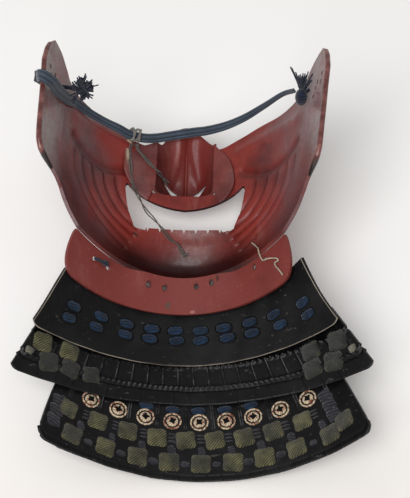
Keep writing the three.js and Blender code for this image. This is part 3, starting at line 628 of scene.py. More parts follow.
# %% Cross-sections
SECTIONS = {
    "y": [56, 32, 14, -4, -17, -29, -38, -47, -56, -63, -67.5],
    "z": [26, 25, 24, 22, 20, 17, 9, 2.6, 4.5, 12, 21.5],
    "half": [74.1, 74.1, 73.8, 73.2, 72.4, 71.4, 69.8, 67.4, 64.2, 61, 58.2],
    "y_back": [56, 31, 12, -7, -21, -32, -40, -47, -53, -58, -62],
    "z_back": [85, 85, 85, 85, 85, 84, 81, 76, 71, 67.5, 65],
    "turn": [78, 78, 78, 77, 75, 71, 66, 60, 53, 44, 34],
}
EAR_REACH = [
    (0, 1.08), (0.02, 1.12), (0.045, 1.165), (0.07, 1.195), (0.11, 1.215), (0.2, 1.21), (0.4, 1.21),
    (0.5, 1.2), (0.56, 1.18), (0.585, 1.14), (0.6, 1.09), (0.615, 1.03), (0.66, 1), (1, 1),
]
BROW = [
    (-96, 52.5), (-83, 52), (-77, 49.5), (-73.5, 43), (-70, 37), (-60, 35), (-47, 33.5),
    (-36, 29.5), (-26, 25.5), (-15, 31), (0, 40), (12, 34), (20, 27.5), (33, 32), (46, 36),
    (60, 36), (70, 38), (73.5, 44), (77.5, 48), (83, 49), (96, 49),
]
EAR_FOOT = 80
EAR_LEAN, EAR_TOE = (0.11, 0.05), (0.03, 0.07)


def shell(t, v):
    """The inner face: t is -1 to 1 from ear to ear, v 0 to 1 from brow to chin."""
    row = {key: sample(column, v) for key, column in SECTIONS.items()}
    turn = np.radians(row["turn"])
    reach = np.clip(np.abs(t), 0, 1)
    back = (1 - np.cos(reach * turn)) / (1 - np.cos(turn))
    beyond = np.abs(t) - reach
    slope = row["half"] * turn / np.sin(turn)
    climb = (row["z_back"] - row["z"]) * turn * np.sin(turn) / (1 - np.cos(turn))
    x = row["half"] * np.sin(reach * turn) / np.sin(turn) + beyond * slope * np.cos(turn)
    y = lerp(row["y"], row["y_back"], back)
    z = lerp(row["z"], row["z_back"], back) + beyond * climb
    return np.stack([np.sign(t) * x, y, z], -1)


def ear_reach(v):
    """How far the mask runs sideways: past 1 it is the ear plate."""
    return np.interp(v, *zip(*EAR_REACH))

# %% [markdown]
# ## The wrinkles
# The folds beaten into each cheek are arcs round one middle, an even step apart, and
# the sheet sinks along them. Under the eye a crease lies below the cheekbone, where the
# sheet swells instead, so that wrinkle has a depth below nought.

# %% Wrinkles
FACE_WIDE, FACE_LONG = 95, 150
FOLD_MIDDLE, FOLD_SWEEP = (10, 45), 60
FOLD_COUNT, FOLD_FIRST, FOLD_STEP = 5, 32, 8
FOLD_DEEP, FOLD_HALF = 1.5, 1.4
EYE_ACROSS = (0.35, 0.8)
LINE_POINTS = 24


def wrinkle_lines():
    """Depth and half width in mm, and a line of (across, down) points, for each wrinkle."""
    bend = np.radians(np.linspace(0, FOLD_SWEEP, LINE_POINTS))
    for k in range(FOLD_COUNT):
        radius = FOLD_FIRST + k * FOLD_STEP
        across = (FOLD_MIDDLE[0] + radius * np.cos(bend)) / FACE_WIDE
        down = (FOLD_MIDDLE[1] + radius * np.sin(bend)) / FACE_LONG
        yield FOLD_DEEP - 0.1 * k, FOLD_HALF, np.stack([across, down], -1)
    across = np.linspace(*EYE_ACROSS, LINE_POINTS)
    arch = np.linspace(-1, 1, LINE_POINTS) ** 2
    yield 1.9, 2.4, np.stack([across, 0.28 - 0.04 * arch], -1)
    yield -2.2, 5, np.stack([across, 0.14 + 0.02 * arch], -1)


WRINKLES = list(wrinkle_lines())


def line_off(t, v, line):
    """Distance in mm, along the surface, from a line of (t, v) points."""
    here = np.stack([t * FACE_WIDE, v * FACE_LONG], -1)
    marks = np.array(line) * (FACE_WIDE, FACE_LONG)
    away = np.full(len(t), 1e3)
    for a, b in zip(marks[:-1], marks[1:]):
        share = np.clip((here - a) @ (b - a) / ((b - a) @ (b - a)), 0, 1)
        away = np.minimum(away, np.linalg.norm(here - a - share[:, None] * (b - a), axis=1))
    return away


def wrinkle_depth(t, v):
    deep = np.zeros(len(t))
    for depth, width, line in WRINKLES:
        deep += depth * np.exp(-(line_off(np.abs(t), v, line) / width) ** 2)
    return deep


def mask_face(t, v):
    point = shell(t, v)
    point = point - normals(shell, t, v) * wrinkle_depth(t, v)[:, None]
    side = (t > 0).astype(int)
    rise = np.maximum(point[:, 2] - EAR_FOOT, 0)
    lean = np.take(EAR_LEAN, side) + np.take(EAR_TOE, side) * point[:, 1] / 25
    point[:, 0] += np.sign(t) * rise * lean
    return point


brow_at = np.linspace(0, 1, 400)
brow_x, brow_y = (sample([p[k] for p in BROW], brow_at) for k in (0, 1))


def brow_row(u):
    """How far down the brow's edge lies in each column of the net."""
    low, high = np.zeros(len(u)), np.full(len(u), 0.6)
    for _ in range(30):
        v = (low + high) / 2
        t = (2 * u - 1) * ear_reach(v)
        point = mask_face(t, v)
        above = point[:, 1] > np.interp(point[:, 0], brow_x, brow_y)
        low, high = np.where(above, v, low), np.where(above, high, v)
    return (low + high) / 2


print("middle of the chin:", shell(np.array([0.0]), np.array([0.7])).round(1).tolist())

# %% [markdown]
# ## The mask
# The net's top row follows the brow, and its sides the ear plates, so those edges are
# clean. The mouth, the hollow for the nose and the cord holes are sawn through
# afterwards, with closed prisms, because they cross the net.

# %% Mask
COLUMNS, ROWS = 240, 120
MOUTH = dict(corner=(35.5, -4.5), side=(36.5, -10), jaw=(30.5, -31), top=-16, bottom=-28.8)
NOTCHES, NOTCH_PITCH, NOTCH_DEEP, NOTCH_WIDE = 7, 7.4, 1.8, 1.6
NOSE_MIDDLE, NOSE_HALF, NOSE_BASE = -1, 17.8, -6
EAR_HOLES = [(29, 100), (27, 94), (23, 98.5), (24, 91.5), (20.5, 88)]


def curve(start, bend, end, steps=8):
    """Points of a bend between two points, pulled towards a third."""
    share = np.linspace(0, 1, steps + 1)[1:, None]
    start, bend, end = map(np.array, (start, bend, end))
    return ((1 - share) ** 2 * start + 2 * share * (1 - share) * bend + share**2 * end).tolist()


def prism(outline, low, high, lay=place_mask):
    """A closed upright prism over an outline in mm."""
    bm = bmesh.new()
    face = bm.faces.new([bm.verts.new((x, y, low)) for x, y in outline])
    rise = bmesh.ops.extrude_face_region(bm, geom=[face])
    tops = [g for g in rise["geom"] if isinstance(g, bmesh.types.BMVert)]
    bmesh.ops.translate(bm, verts=tops, vec=(0, 0, high - low))
    bmesh.ops.recalc_face_normals(bm, faces=bm.faces)
    placed = lay(np.array([vert.co[:] for vert in bm.verts]))
    for vert, point in zip(bm.verts, placed):
        vert.co = point
    return bm


def drill(middle, along, wide, long, sides=20, stretch=1.0, lay=place_mask):
    """A closed round cutter; along is its direction, stretch widens it along Y."""
    bm = bmesh.new()
    bmesh.ops.create_cone(bm, cap_ends=True, segments=sides, radius1=wide / 2, radius2=wide / 2, depth=long)
    tip = Vector((0, 0, 1)).rotation_difference(Vector(along))
    bmesh.ops.rotate(bm, verts=bm.verts, matrix=tip.to_matrix())
    bmesh.ops.scale(bm, verts=bm.verts, vec=(1, stretch, 1))
    bmesh.ops.translate(bm, verts=bm.verts, vec=middle)
    placed = lay(np.array([vert.co[:] for vert in bm.verts]))
    for vert, point in zip(bm.verts, placed):
        vert.co = point
    return bm


def mouth_outline():
    (cx, cy), (sx, sy), (jx, jy) = MOUTH["corner"], MOUTH["side"], MOUTH["jaw"]
    top, bottom = MOUTH["top"], MOUTH["bottom"]
    left = [(-cx, cy), *curve((-cx, cy), (-sx - 1, cy - 1), (-sx, sy)),
            *curve((-sx, sy), (-sx + 1.5, -24), (-jx, jy)),
            *curve((-jx, jy), (-jx + 5, jy - 1.4), (-jx + 7, bottom - 3))]
    teeth = []
    for i in range(NOTCHES):
        x = (i - (NOTCHES - 1) / 2) * NOTCH_PITCH
        edge = bottom - 3 * (x / jx) ** 2
        teeth += [(x - NOTCH_WIDE / 2, edge), (x, edge - NOTCH_DEEP), (x + NOTCH_WIDE / 2, edge)]
    right = [(-x, y) for x, y in reversed(left)]
    lip = [*curve(right[-1], (27, top + 2), (0, top)), *curve((0, top), (-27, top + 2), (-cx, cy))[:-1]]
    return left + teeth + right + lip


def ear_spot(side, y, z):
    """The point of an ear plate nearest to a height and a place along it."""
    t, v = (grid.ravel() for grid in np.meshgrid(np.linspace(1, 1.2, 40), np.linspace(0.05, 0.6, 80)))
    points = mask_face(side * t, v)
    return points[np.argmin(np.hypot(points[:, 1] - y, points[:, 2] - z))]


columns_at = np.linspace(0, 1, COLUMNS + 1)
brow_down = brow_row(columns_at)


def mask_net(u, w):
    v = lerp(np.interp(u, columns_at, brow_down), 1, w)
    return place_mask(mask_face((2 * u - 1) * ear_reach(v), v))


def crease_at(u, w):
    v = lerp(np.interp(u, columns_at, brow_down), 1, w)
    return np.clip(wrinkle_depth((2 * u - 1) * ear_reach(v), v) / 1.5, 0, 1)


mask = piece("mask", net(COLUMNS, ROWS, mask_net), mask_lacquer, ["mask_shell"])
# The wrinkles' depth is kept on the mask as an attribute, which the lacquer reads for painted shade in the
# creases.
flat = np.array([[w, u] for w in np.linspace(1, 0, ROWS + 1) for u in np.linspace(0, 1, COLUMNS + 1)])
crease = mask.data.attributes.new("crease", "FLOAT", "POINT")
crease.data.foreach_set("value", crease_at(flat[:, 1], flat[:, 0]))
thicken(mask, 2)
half = NOSE_HALF + 1.75
nose_hole = [(NOSE_MIDDLE - half, 60), (NOSE_MIDDLE - half, NOSE_BASE - 0.35),
             (NOSE_MIDDLE + half, NOSE_BASE - 0.35), (NOSE_MIDDLE + half, 60)]
cut(mask, prism(mouth_outline(), -5, 60), prism(nose_hole, -5, 60),
    *[drill(ear_spot(side, y, z), (side, 0.5, -0.7), 2.5, 14, stretch=1.3) for y,
      z in EAR_HOLES for side in (-1, 1)])
mask.data.set_sharp_from_angle(angle=math.radians(40))
report(mask)

# %% [markdown]
# ## The folded edge of the ear plates
# The iron is folded over along each ear plate's outer edge, for strength and so that
# it doesn't cut. The fold ends in a small round foot below the plate, where the
# lacquer is worn down to its black ground. It is a flat rolled net along the edge.

# %% Folded edge
fold_lacquer = Finish("fold_lacquer", Roughness=0.34, Coat_Weight=0.4, Coat_Roughness=0.15)
along_fold = fold_lacquer.split("UV")[1]
chips = fold_lacquer.noise(140, 5, 0.7)
fold_red = fold_lacquer.mix(colour("4a1613"), colour("7b4a44"), fold_lacquer.step(chips, 0.35, 0.7))
fold_red = fold_lacquer.mix(fold_red, colour("8c8078"), fold_lacquer.step(chips, 0.62, 0.7, 0, 0.6))
foot = fold_lacquer.step(fold_lacquer.plus(along_fold, fold_lacquer.times(chips, 0.1)),
                         0.08, 0.14, 1, 0)
fold_lacquer.wire(fold_lacquer.mix(fold_red, colour("141011"), foot), "Base Color")
fold_lacquer.bump((chips, 0.4, 0.4))


def fold_section(turn, along):
    thick = 1.7 * np.minimum(1, (1.02 - along) / 0.06) ** 0.5
    return 1.5 * np.cos(turn), thick * np.sin(turn)


folds = []
for side in (-1, 1):
    v = np.linspace(0.05, 0.602, 90)
    t = side * (ear_reach(v) - 0.006)
    rim = mask_face(t, v) - normals(shell, t, v) * 1.0
    folds.append(rolled(place_mask(rim), 16, fold_section, up=(side, 0, 0.3)))

# %% [markdown]
# ## The nose piece
# The nose is a separate piece, pressed down from the face, with two lugs that lie on
# the inside of the cheeks. Its ridge shows inside as a sharp valley, with a fold on
# each side that fans out over the nostril. The net is trimmed to the piece's outline,
# and two slanting nostrils are cut through it.

# %% Nose piece
NOSE = dict(half=NOSE_HALF, top=47, wing_half=38, wing_top=26, wing_bottom=-14, wall=1.4)
NOSE_FLOOR_Y = [47, 40, 29, 18, 8, 1, -3, -6]
NOSE_FLOOR_DEEP = [0.5, 5, 12, 17.5, 20.6, 19.4, 10, 0]


def face_height(x, y):
    """Height of the plain face over points near its middle."""
    v = np.full(len(x), 0.3)
    for _ in range(12):
        turn = np.radians(sample(SECTIONS["turn"], v))
        t = np.arcsin(np.clip(x * np.sin(turn) / sample(SECTIONS["half"], v), -0.99, 0.99)) / turn
        here, there = shell(t, v), shell(t, v + 0.01)
        v = np.clip(v + 0.01 * (y - here[:, 1]) / (there[:, 1] - here[:, 1]), 0, 1)
    return shell(t, v)[:, 2]


floor_at = np.linspace(0, 1, 200)
floor_y, floor_deep = sample(NOSE_FLOOR_Y, floor_at), sample(NOSE_FLOOR_DEEP, floor_at)


def nose_height(x, y):
    """The nose piece's inner face over points in mm."""
    off = np.abs(x - NOSE_MIDDLE)
    lift = NOSE["wall"] + 0.7
    rounding = lerp(1.5, 3.4, np.clip((NOSE["top"] - y) / 36, 0, 1))
    inside = np.clip(1 - (off / NOSE_HALF) ** rounding, 0, 1)
    deep = np.where(y < NOSE_BASE, 0, np.interp(-y, -floor_y, floor_deep))
    bridge = smoothstep(y, 1, 10) * (1 - smoothstep(y, 38, 47))
    ridge = 1.5 * np.exp(-off / 1.0)
    fold_off = 4 + 7.5 * np.clip((36 - y) / 28, 0, 1) ** 1.5
    fold = -0.9 * np.exp(-(((off - fold_off) / 2.1) ** 2))
    wing = 1.9 * np.exp(-(((off - 9) / 4) ** 2 + ((y - 14) / 5) ** 2))
    hollow = np.maximum(deep + lift, 0) * inside**0.7
    return face_height(x, y) + lift - hollow - bridge * smoothstep(inside, 0, 0.3) * (ridge + fold + wing)


def nose_outline():
    wh, wt, wb, h = (NOSE[key] for key in ("wing_half", "wing_top", "wing_bottom", "half"))
    top, base = NOSE["top"], NOSE_BASE
    line = [(0, top - 0.5), *curve((0, top - 0.5), (-9, top - 1), (-h + 3, wt + 7)),
            (-h - 8, wt - 0.5), (-wh + 2, wt + 1), (-wh + 0.5, wt - 2), (-wh + 1, 4),
            *curve((-wh + 1, 4), (-wh + 5, -8), (-h - 4, wb + 0.5)), (-h - 1.2, base + 0.6),
            (h + 1.2, base + 0.6), (h + 4, wb + 0.5),
            *curve((h + 4, wb + 0.5), (wh - 8, wb + 4), (wh - 7, 0)),
            *curve((wh - 7, 0), (wh - 8, wt - 8), (h + 3, wt)),
            *curve((h + 3, wt), (9, top - 2), (0, top - 0.5))[:-1]]
    return [(x + NOSE_MIDDLE, y) for x, y in line]


def snip(bm, outline, keep_inside=True):
    """Cuts a flat net along a closed outline, and moves its new edge onto the line."""
    line = np.array(outline)
    after = np.roll(line, -1, axis=0)

    def inside(p):
        crosses = (line[:, 1] > p[1]) != (after[:, 1] > p[1])
        x = line[:, 0] + (p[1] - line[:, 1]) / np.where(crosses, after[:, 1] - line[:, 1],
                                                        1) * (after - line)[:, 0]
        return (crosses & (p[0] < x)).sum() % 2 == 1

    gone = [f for f in bm.faces if inside(f.calc_center_median()) != keep_inside]
    touched = {v for f in gone for v in f.verts}
    bmesh.ops.delete(bm, geom=gone, context="FACES")
    for vert in [v for v in touched if v.is_valid and v.link_faces]:
        p = np.array(vert.co[:2])
        share = np.clip(((p - line) * (after - line)).sum(1) / ((after - line) ** 2).sum(1), 0, 1)
        near = line + (after - line) * share[:, None]
        vert.co[:2] = near[np.argmin(((near - p) ** 2).sum(1))]


nose_bm = net(170, 130, lambda u, v: np.stack(
    [NOSE_MIDDLE + lerp(-NOSE["wing_half"], NOSE["wing_half"], u),
     lerp(NOSE["top"], NOSE["wing_bottom"], v), 0 * u], -1))
snip(nose_bm, nose_outline())
for side in (-1, 1):
    turn = math.radians(side * 34)
    ring = [(6 * math.cos(a), 1.9 * math.sin(a)) for a in np.linspace(0, 2 * math.pi, 33)[:-1]]
    snip(nose_bm, [(side * 8.4 + NOSE_MIDDLE + x * math.cos(turn) - y * math.sin(turn),
                    9 + x * math.sin(turn) + y * math.cos(turn)) for x, y in ring], keep_inside=False)
flat = np.array([vert.co[:] for vert in nose_bm.verts])
flat[:, 2] = nose_height(flat[:, 0], flat[:, 1])
for vert, point in zip(nose_bm.verts, place_mask(flat)):
    vert.co = point
nose = piece("nose", nose_bm, nose_lacquer, ["nose_piece"])
thicken(nose, NOSE["wall"])
report(nose)

# %% [markdown]
# ## The chin flange
# A crescent is riveted along the mask's lower edge, and the throat guard is laced to
# it through its holes. The net runs from the mask's edge to the crescent's own edge.

# %% Chin flange
FLANGE = dict(span=0.975, round=0.78, lap=2.1, x=-0.8, y=-90.5, z=17.5, half=73.5, rise=46, back=9)
FLANGE_HOLES = [(-0.76, 0.26), (-0.64, 0.26), (-0.29, 0.3), (-0.14, 0.3),
                (0.15, 0.24), (0.29, 0.2), (0.67, 0.16), (0.77, 0.14)]


def flange_face(u, v):
    s = lerp(-FLANGE["span"], FLANGE["span"], u)
    one = np.ones(len(s))
    rim = shell(s, one)
    below = shell(s, one * 0.98) - rim
    below *= FLANGE["lap"] / np.linalg.norm(below, axis=1, keepdims=True)
    out = normals(shell, s, one * 0.998)
    covered = (1 - smoothstep(np.abs(s), 0.3, 0.55))[:, None]
    edge = lerp(rim + below * 0.43 - out * 2.35, rim - below - out * 0.3, covered)
    free = np.stack([FLANGE["x"] + s * FLANGE["half"], FLANGE["y"] + FLANGE["back"] * s**4,
                     FLANGE["z"] + FLANGE["rise"] * s * s], -1)
    end = np.clip((np.abs(s) - FLANGE["round"]) / (FLANGE["span"] - FLANGE["round"]), 0, 1)
    return lerp(edge, free, (v * (1 - 0.9 * end**3))[:, None])


flange = piece("flange", net(150, 20, lambda u, v: place_mask(flange_face(u, v))), flange_lacquer,
               ["chin_flange"])
thicken(flange, 2)
drills = []
for along, down in FLANGE_HOLES:
    u, v = np.array([(along / FLANGE["span"] + 1) / 2]), np.array([float(down)])
    drills.append(drill(flange_face(u, v)[0], normals(flange_face, u, v)[0], 2.9, 12))
cut(flange, *drills)
flange.data.set_sharp_from_angle(angle=math.radians(40))
report(flange)

# %% [markdown]
# ## Leather and black lacquer
# The upper plate is bare leather, matt and dusty, worn pale along its edge. The two
# lower ones are rows of small scales under black lacquer. Both finishes read the UV
# map for their edges, because wear follows an edge.

# %% Leather finishes
def black_leather(name, base, dust, gloss, edge_wide, edge_tone, marks=()):
    """Dark leather: dust, grain, a worn line along its edge and painted highlights along the ridges between
    the marks' rows.
    """
    f = Finish(name, Specular_IOR_Level=0.22)
    u, v = f.split("UV")[0:2]
    cloud, fine, patch = f.noise(45, 6, 0.65), f.noise(700, 4, 0.7), f.noise(150, 4)
    tone = f.mix(colour(base), colour(dust), f.step(cloud, 0.4, 0.8, 0, 0.7))
    tone = f.mix(tone, colour("5f5a54"),
                 f.step(f.noise(420, 3, 0.6, stretch=(0.3, 1, 1)), 0.64, 0.72, 0, 0.35))
    # Pale lines along the ridges between the scales are painted highlights.
    for count, shift, low, high, half_wide in marks:
        place = f.math("FRACT", f.math("MULTIPLY_ADD", u, count, shift))
        near = f.step(f.math("ABSOLUTE", f.math("SUBTRACT", place, 0.5)), half_wide * 0.4, half_wide, 1, 0)
        inside = f.times(f.step(v, 0.97 - high, 1 - high), f.step(v, 1 - low, 1.03 - low, 1, 0))
        ridge_highlight = f.times(f.times(near, inside), f.step(patch, 0.4, 0.62, 0.05, 0.7))
        tone = f.mix(tone, colour("4f4f50"), ridge_highlight)
    near = f.math("MINIMUM", f.times(f.math("MINIMUM", u, f.math("SUBTRACT", 1.0, u)), 8.0), v)
    ragged = f.plus(near, f.times(f.math("SUBTRACT", patch, 0.5), edge_wide))
    worn = f.times(f.step(ragged, edge_wide * 0.55, edge_wide, 1, 0),
                  f.step(near, 0.0003, 0.0015))
    worn = f.times(worn, f.step(f.noise(30, 3), 0.34, 0.5, 0.35, 1))
    f.wire(f.mix(tone, colour(edge_tone), worn), "Base Color")
    f.wire(f.step(cloud, 0.3, 0.8, gloss, gloss + 0.25), "Roughness")
    f.bump((cloud, 0.9, 0.3), (fine, 0.18, 0.4))
    return f.material


upper_leather = black_leather("plain_black_leather", "08080a", "18191b", 0.45, 0.02, "8f8577")
# The lists give the ridges' painted highlights: count, shift, the rows they run between and half width.
middle_lacquer = black_leather("laced_scale_lacquer", "060608", "151517", 0.28, 0.012, "2b2a2a",
                               [(21, 0.84, 0.44, 0.66, 0.05)])
lower_lacquer = black_leather("woven_scale_lacquer", "070709", "19191c", 0.36, 0.01, "2b2a2a",
                              [(10.15, -0.03, 0.16, 0.44, 0.03), (10.15, -0.11, 0.16, 0.44, 0.03)])
print("leathers:", upper_leather.name, middle_lacquer.name, lower_lacquer.name)

# %% [markdown]
# ## The three throat plates
# Each plate is a net between a few arcs. The upper one is plain leather. The middle one
# shows the narrow ridges between its scales, a twisted lacing cord under the upper
# plate's edge and a beaded one lower down. The lower one has pairs of ridges between
# its rosettes. All of it is relief along the plate's normal, so it is one pressed sheet.

# %% Throat plates
LAMES = [
    dict(x=[2.4, 3.6, 4], y=[-84, -102, -120.5], z=[13.6, 11.2, 9], half=[67, 76.5, 86],
         rise=[37, 40, 42], lean=[9, 1, 3], back=[5, 3, 3]),
    dict(x=[5, 6.5, 8], y=[-104, -124, -144], z=[7.2, 6, 5.1], half=[81, 91, 101],
         rise=[34, 37, 40], lean=[3, 2.5, 2], back=[2, 2, 2]),
    dict(x=[10, 11.5, 13, 14.5], y=[-128, -150, -171, -191], z=[2.5, 2.3, 2.25, 2.2],
         half=[72, 80, 86, 90.5],
         rise=[16.5, 21, 27, 33], lean=[3.5, 4.5, 5.5, 6.5], back=[14, 14, 13, 12]),
]
LAME_WALL = 2.2


def band(rows, u, v):
    """A point on a plate: u across from left to right, v from its top to its bottom."""
    s = 2 * u - 1
    v = v * (1 - 0.09 * np.clip((np.abs(s) - 0.95) / 0.05, 0, 1) ** 2)
    row = {key: sample(column, v) for key, column in rows.items()}
    return np.stack([row["x"] + s * row["half"], row["y"] + row["back"] * s * s,
                     row["z"] + row["rise"] * s * s + row["lean"] * np.maximum(s, 0) ** 6], -1)


def relief_band(rows, relief):
    """A plate's net with a relief in mm, raised along its normal."""
    def shape(u, v):
        face = lambda a, b: band(rows, a, b)
        return place_throat(face(u, v) + normals(face, u, v) * relief(u, v)[:, None])
    return shape


def across_line(v, at, half_wide):
    """A rounded line that runs across a plate at one height, 1 on its crest."""
    return np.exp(-(((v - at) / half_wide) ** 2))


def ridges(u, count, shift, half_wide):
    share = u * count + shift
    return np.exp(-(((share - np.floor(share) - 0.5) / half_wide) ** 2))


def between_rows(v, low, high):
    return smoothstep(v, low - 0.03, low) * (1 - smoothstep(v, high, high + 0.03))


def plain_leather(u, v):
    s = 2 * u - 1
    waves = 0.3 * np.sin(9 * s + 1) * np.sin(3 * v + 0.5) + 0.15 * np.sin(31 * s + 9 * v)
    return waves - 0.5 * smoothstep(v, 0.975, 1)


def laced_scales(u, v):
    lacing = (0.4 + 0.8 * smoothstep(u, 0.5, 0.62)) * (1 + 0.5 * np.sin(u * 2 * math.pi * 52 + 40 * v))
    beads = 0.9 * (1 + 0.35 * np.sin(u * 2 * math.pi * 64))
    upright = 0.55 * ridges(u, 21, 0.84, 0.09) * between_rows(v, 0.42, 0.68)
    low = 0.3 * ridges(u, 21, 0.2, 0.06) * between_rows(v, 0.78, 0.97)
    wave = 0.35 * np.sin(23 * u + 2) * np.sin(5 * v) + 0.2 * np.sin(61 * u)
    return (lacing * across_line(v, 0.4, 0.022) + beads * across_line(v, 0.7, 0.02)
            - 0.7 * across_line(v, 0.745, 0.02)
            + upright + low + wave - 0.5 * smoothstep(v, 0.975, 1))


def woven_scales(u, v):
    pairs = sum(0.6 * ridges(u, 10.15, shift, 0.03) for shift in (-0.03, -0.11)) * between_rows(v, 0.16, 0.44)
    low = 0.3 * ridges(u, 22, 0.3, 0.06) * between_rows(v, 0.93, 0.99)
    wave = 0.3 * np.sin(19 * u + 1) * np.sin(6 * v) + 0.2 * np.sin(47 * u + 8 * v)
    relief = 0.5 + pairs + low + wave - 0.4 * across_line(v, 0.925, 0.012) - 0.4 * smoothstep(v, 0.985, 1)
    return np.maximum(relief, 0.05)


for i, (rows, relief, material) in enumerate(zip(
        LAMES, (plain_leather, laced_scales, woven_scales),
        (upper_leather, middle_lacquer, lower_lacquer))):
    name = ("upper_plate", "middle_plate", "lower_plate")[i]
    plate = piece(name, net(420, (44, 66, 80)[i], relief_band(rows, relief)), material, [f"lame_{i + 1}"])
    thicken(plate, LAME_WALL)
    report(plate)

# %% [markdown]
# ## Silk on the plates
# Flat silk braid is laced through the plates. It shows as oval stitches in pairs on
# the upper plate, as single ones above the rosettes, and as slanting square pads
# between them. Each is a small crowned net set on the plate along its normal, and a
# stitch lies in a dark slot punched in the leather.

# %% Silk finishes
def braid(name, dark, light, threads, along=0.0, sheen=0.3, faded=None, corners=None):
    """Flat silk braid: threads cross a pad, some pads fade, and corners may differ."""
    f = Finish(name, Roughness=0.8, Sheen_Weight=sheen, Specular_IOR_Level=0.15)
    u, v = f.split("UV")[0:2]
    across = f.plus(f.times(v, threads), f.times(u, threads * along))
    wobble = f.plus(across, f.times(f.noise(220, 3), 1.1))
    thread = f.math("ABSOLUTE", f.math("SINE", f.times(wobble, math.pi)))
    patch, fine = f.noise(150, 4), f.noise(900, 3)
    lit = f.times(thread, f.step(patch, 0.3, 0.7, 0.35, 1))
    tone = f.mix(colour(dark), colour(light), lit)
    if faded:
        tone = f.mix(tone, f.mix(colour(dark), colour(faded), lit),
                     f.step(f.noise(31, 2), 0.42, 0.58, 0, 0.8))
    if corners:
        off = [f.math("ABSOLUTE", f.math("MULTIPLY_ADD", side, 2.0, -1.0)) for side in (u, v)]
        tip = f.step(f.math("MINIMUM", *off), 0.45, 0.85, 0, 0.75)
        tone = f.mix(tone, f.mix(colour(dark), colour(corners), lit), tip)
    f.wire(tone, "Base Color")
    f.bump((thread, 0.5, 0.85), (fine, 0.14, 0.45))
    return f.material


navy_silk = braid("dark_navy_silk", "050911", "19304a", 3, 0.25, 0.15)
slot_black = braid("black_slots", "040405", "0b0b0c", 2, 0, 0)
olive_silk = braid("faded_olive_silk", "1b1a14", "6e6b4a", 7, 0.9, 0.15, faded="3b3b36", corners="746c4b")
grey_silk = braid("dark_grey_silk", "101012", "3a3b36", 8, 0.9, 0.15, corners="4c4936")
pale_silk = braid("pale_grey_silk", "33322b", "85826e", 6, 0.4, 0.2)
shadow_silk = braid("shadow_silk", "0d0c10", "2f2d36", 4, -0.4, 0.2)


def seat(rows, u, v, lift, turn=0.0):
    """The place and axes, in mm, of something seated on a plate: centre, across, down, up."""
    face = lambda a, b: band(rows, a, b)
    a, b = np.array([u]), np.array([v])
    up = normals(face, a, b)[0]
    across = (face(a + 0.01, b) - face(a - 0.01, b))[0]
    across /= np.linalg.norm(across)
    down = np.cross(up, across)
    c, s = math.cos(math.radians(turn)), math.sin(math.radians(turn))
    across, down = across * c + down * s, down * c - across * s
    return face(a, b)[0] + up * lift, across, down, up


def pad_net(rows, u, v, wide, long, thick, square, turn=0.0, side=12, lift=0.25, lobe=0.0):
    """A crowned pad: square 2 is an ellipse, higher is squarer; lobe draws its corners out."""
    centre, across, down, up = seat(rows, u, v, lift, turn)

    def shape(a, b):
        x, y = 2 * a - 1, 2 * b - 1
        big = np.maximum(np.maximum(np.abs(x), np.abs(y)), 1e-6)
        grow = big / np.maximum((np.abs(x) ** square + np.abs(y) ** square) ** (1 / square), 1e-6)
        x, y = x * grow, y * grow
        r = np.clip((np.abs(x) ** square + np.abs(y) ** square) ** (1 / square), 0, 1)
        z = thick * np.sqrt(np.clip(1 - r**3, 0, 1)) - 0.3 * (r > 0.999)
        pull = 1 - lobe * np.cos(4 * np.arctan2(y, x)) * r
        x, y = x * pull, y * pull
        return place_throat(centre + np.outer(x * wide / 2, across) + np.outer(y * long / 2, down)
                            + np.outer(z, up))
    return net(side, side, shape)


def gather(name, nets, material, replaces=()):
    """Joins many small nets into one piece."""
    return piece(name, join(nets), material, replaces, 80)


STITCHES = dict(pairs=10, first=0.08, last=0.94, long=9.8, wide=5.9, thick=1.6)
stitch_rows = [(0.41, 0.06), (0.57, 0.08)]
ROSETTE_PLACES = np.linspace(0.12, 0.88, 9)
ROSETTE_DOWN = 0.4

stitch_nets, slot_nets = [], []
for i, u in enumerate(np.linspace(STITCHES["first"], STITCHES["last"], STITCHES["pairs"])):
    for k, (middle, rise) in enumerate(stitch_rows):
        v = middle + rise * (2 * i / (STITCHES["pairs"] - 1) - 1) ** 2
        place = (LAMES[0], u + 0.003 * math.sin(3 * i + 2 * k), v)
        turn = 7 * math.sin(5 * i + k)
        stitch_nets.append(pad_net(*place, STITCHES["long"], STITCHES["wide"], STITCHES["thick"], 2.5,
                                   turn=turn))
        slot_nets.append(pad_net(*place, STITCHES["long"] + 1.5, STITCHES["wide"] + 1.3, 0.5, 2.4,
                                 turn=turn, lift=0.3))
ear_folds = gather("ear_folds", folds, fold_lacquer.material)
stitches = gather("stitches", stitch_nets, navy_silk, [f"lacing_{i + 1}" for i in range(STITCHES["pairs"])])
loop_places = [(u, 0.285) for u in ROSETTE_PLACES[2:7]]
loops = gather("loops", [pad_net(LAMES[2], u, v, 9.4, 5.4, 1.4, 2.4) for u, v in loop_places], navy_silk,
               [f"silk_loop_{i}" for i in range(3, 8)])
slot_nets += [pad_net(LAMES[2], u, v, 10.8, 6.8, 0.5, 2.4, lift=0.3) for u, v in loop_places]
slots = gather("lacing_slots", slot_nets, slot_black)
for made in (stitches, loops, slots):
    report(made)

# %% [markdown]
# ## Rosettes
# Each rosette is a cord coiled twice: an outer cream ring with rust threads, a dark
# gap, and an inner ring that rises like a dome round a dark heart with four points. A
# net rolled round and closed on its inside makes a ring.

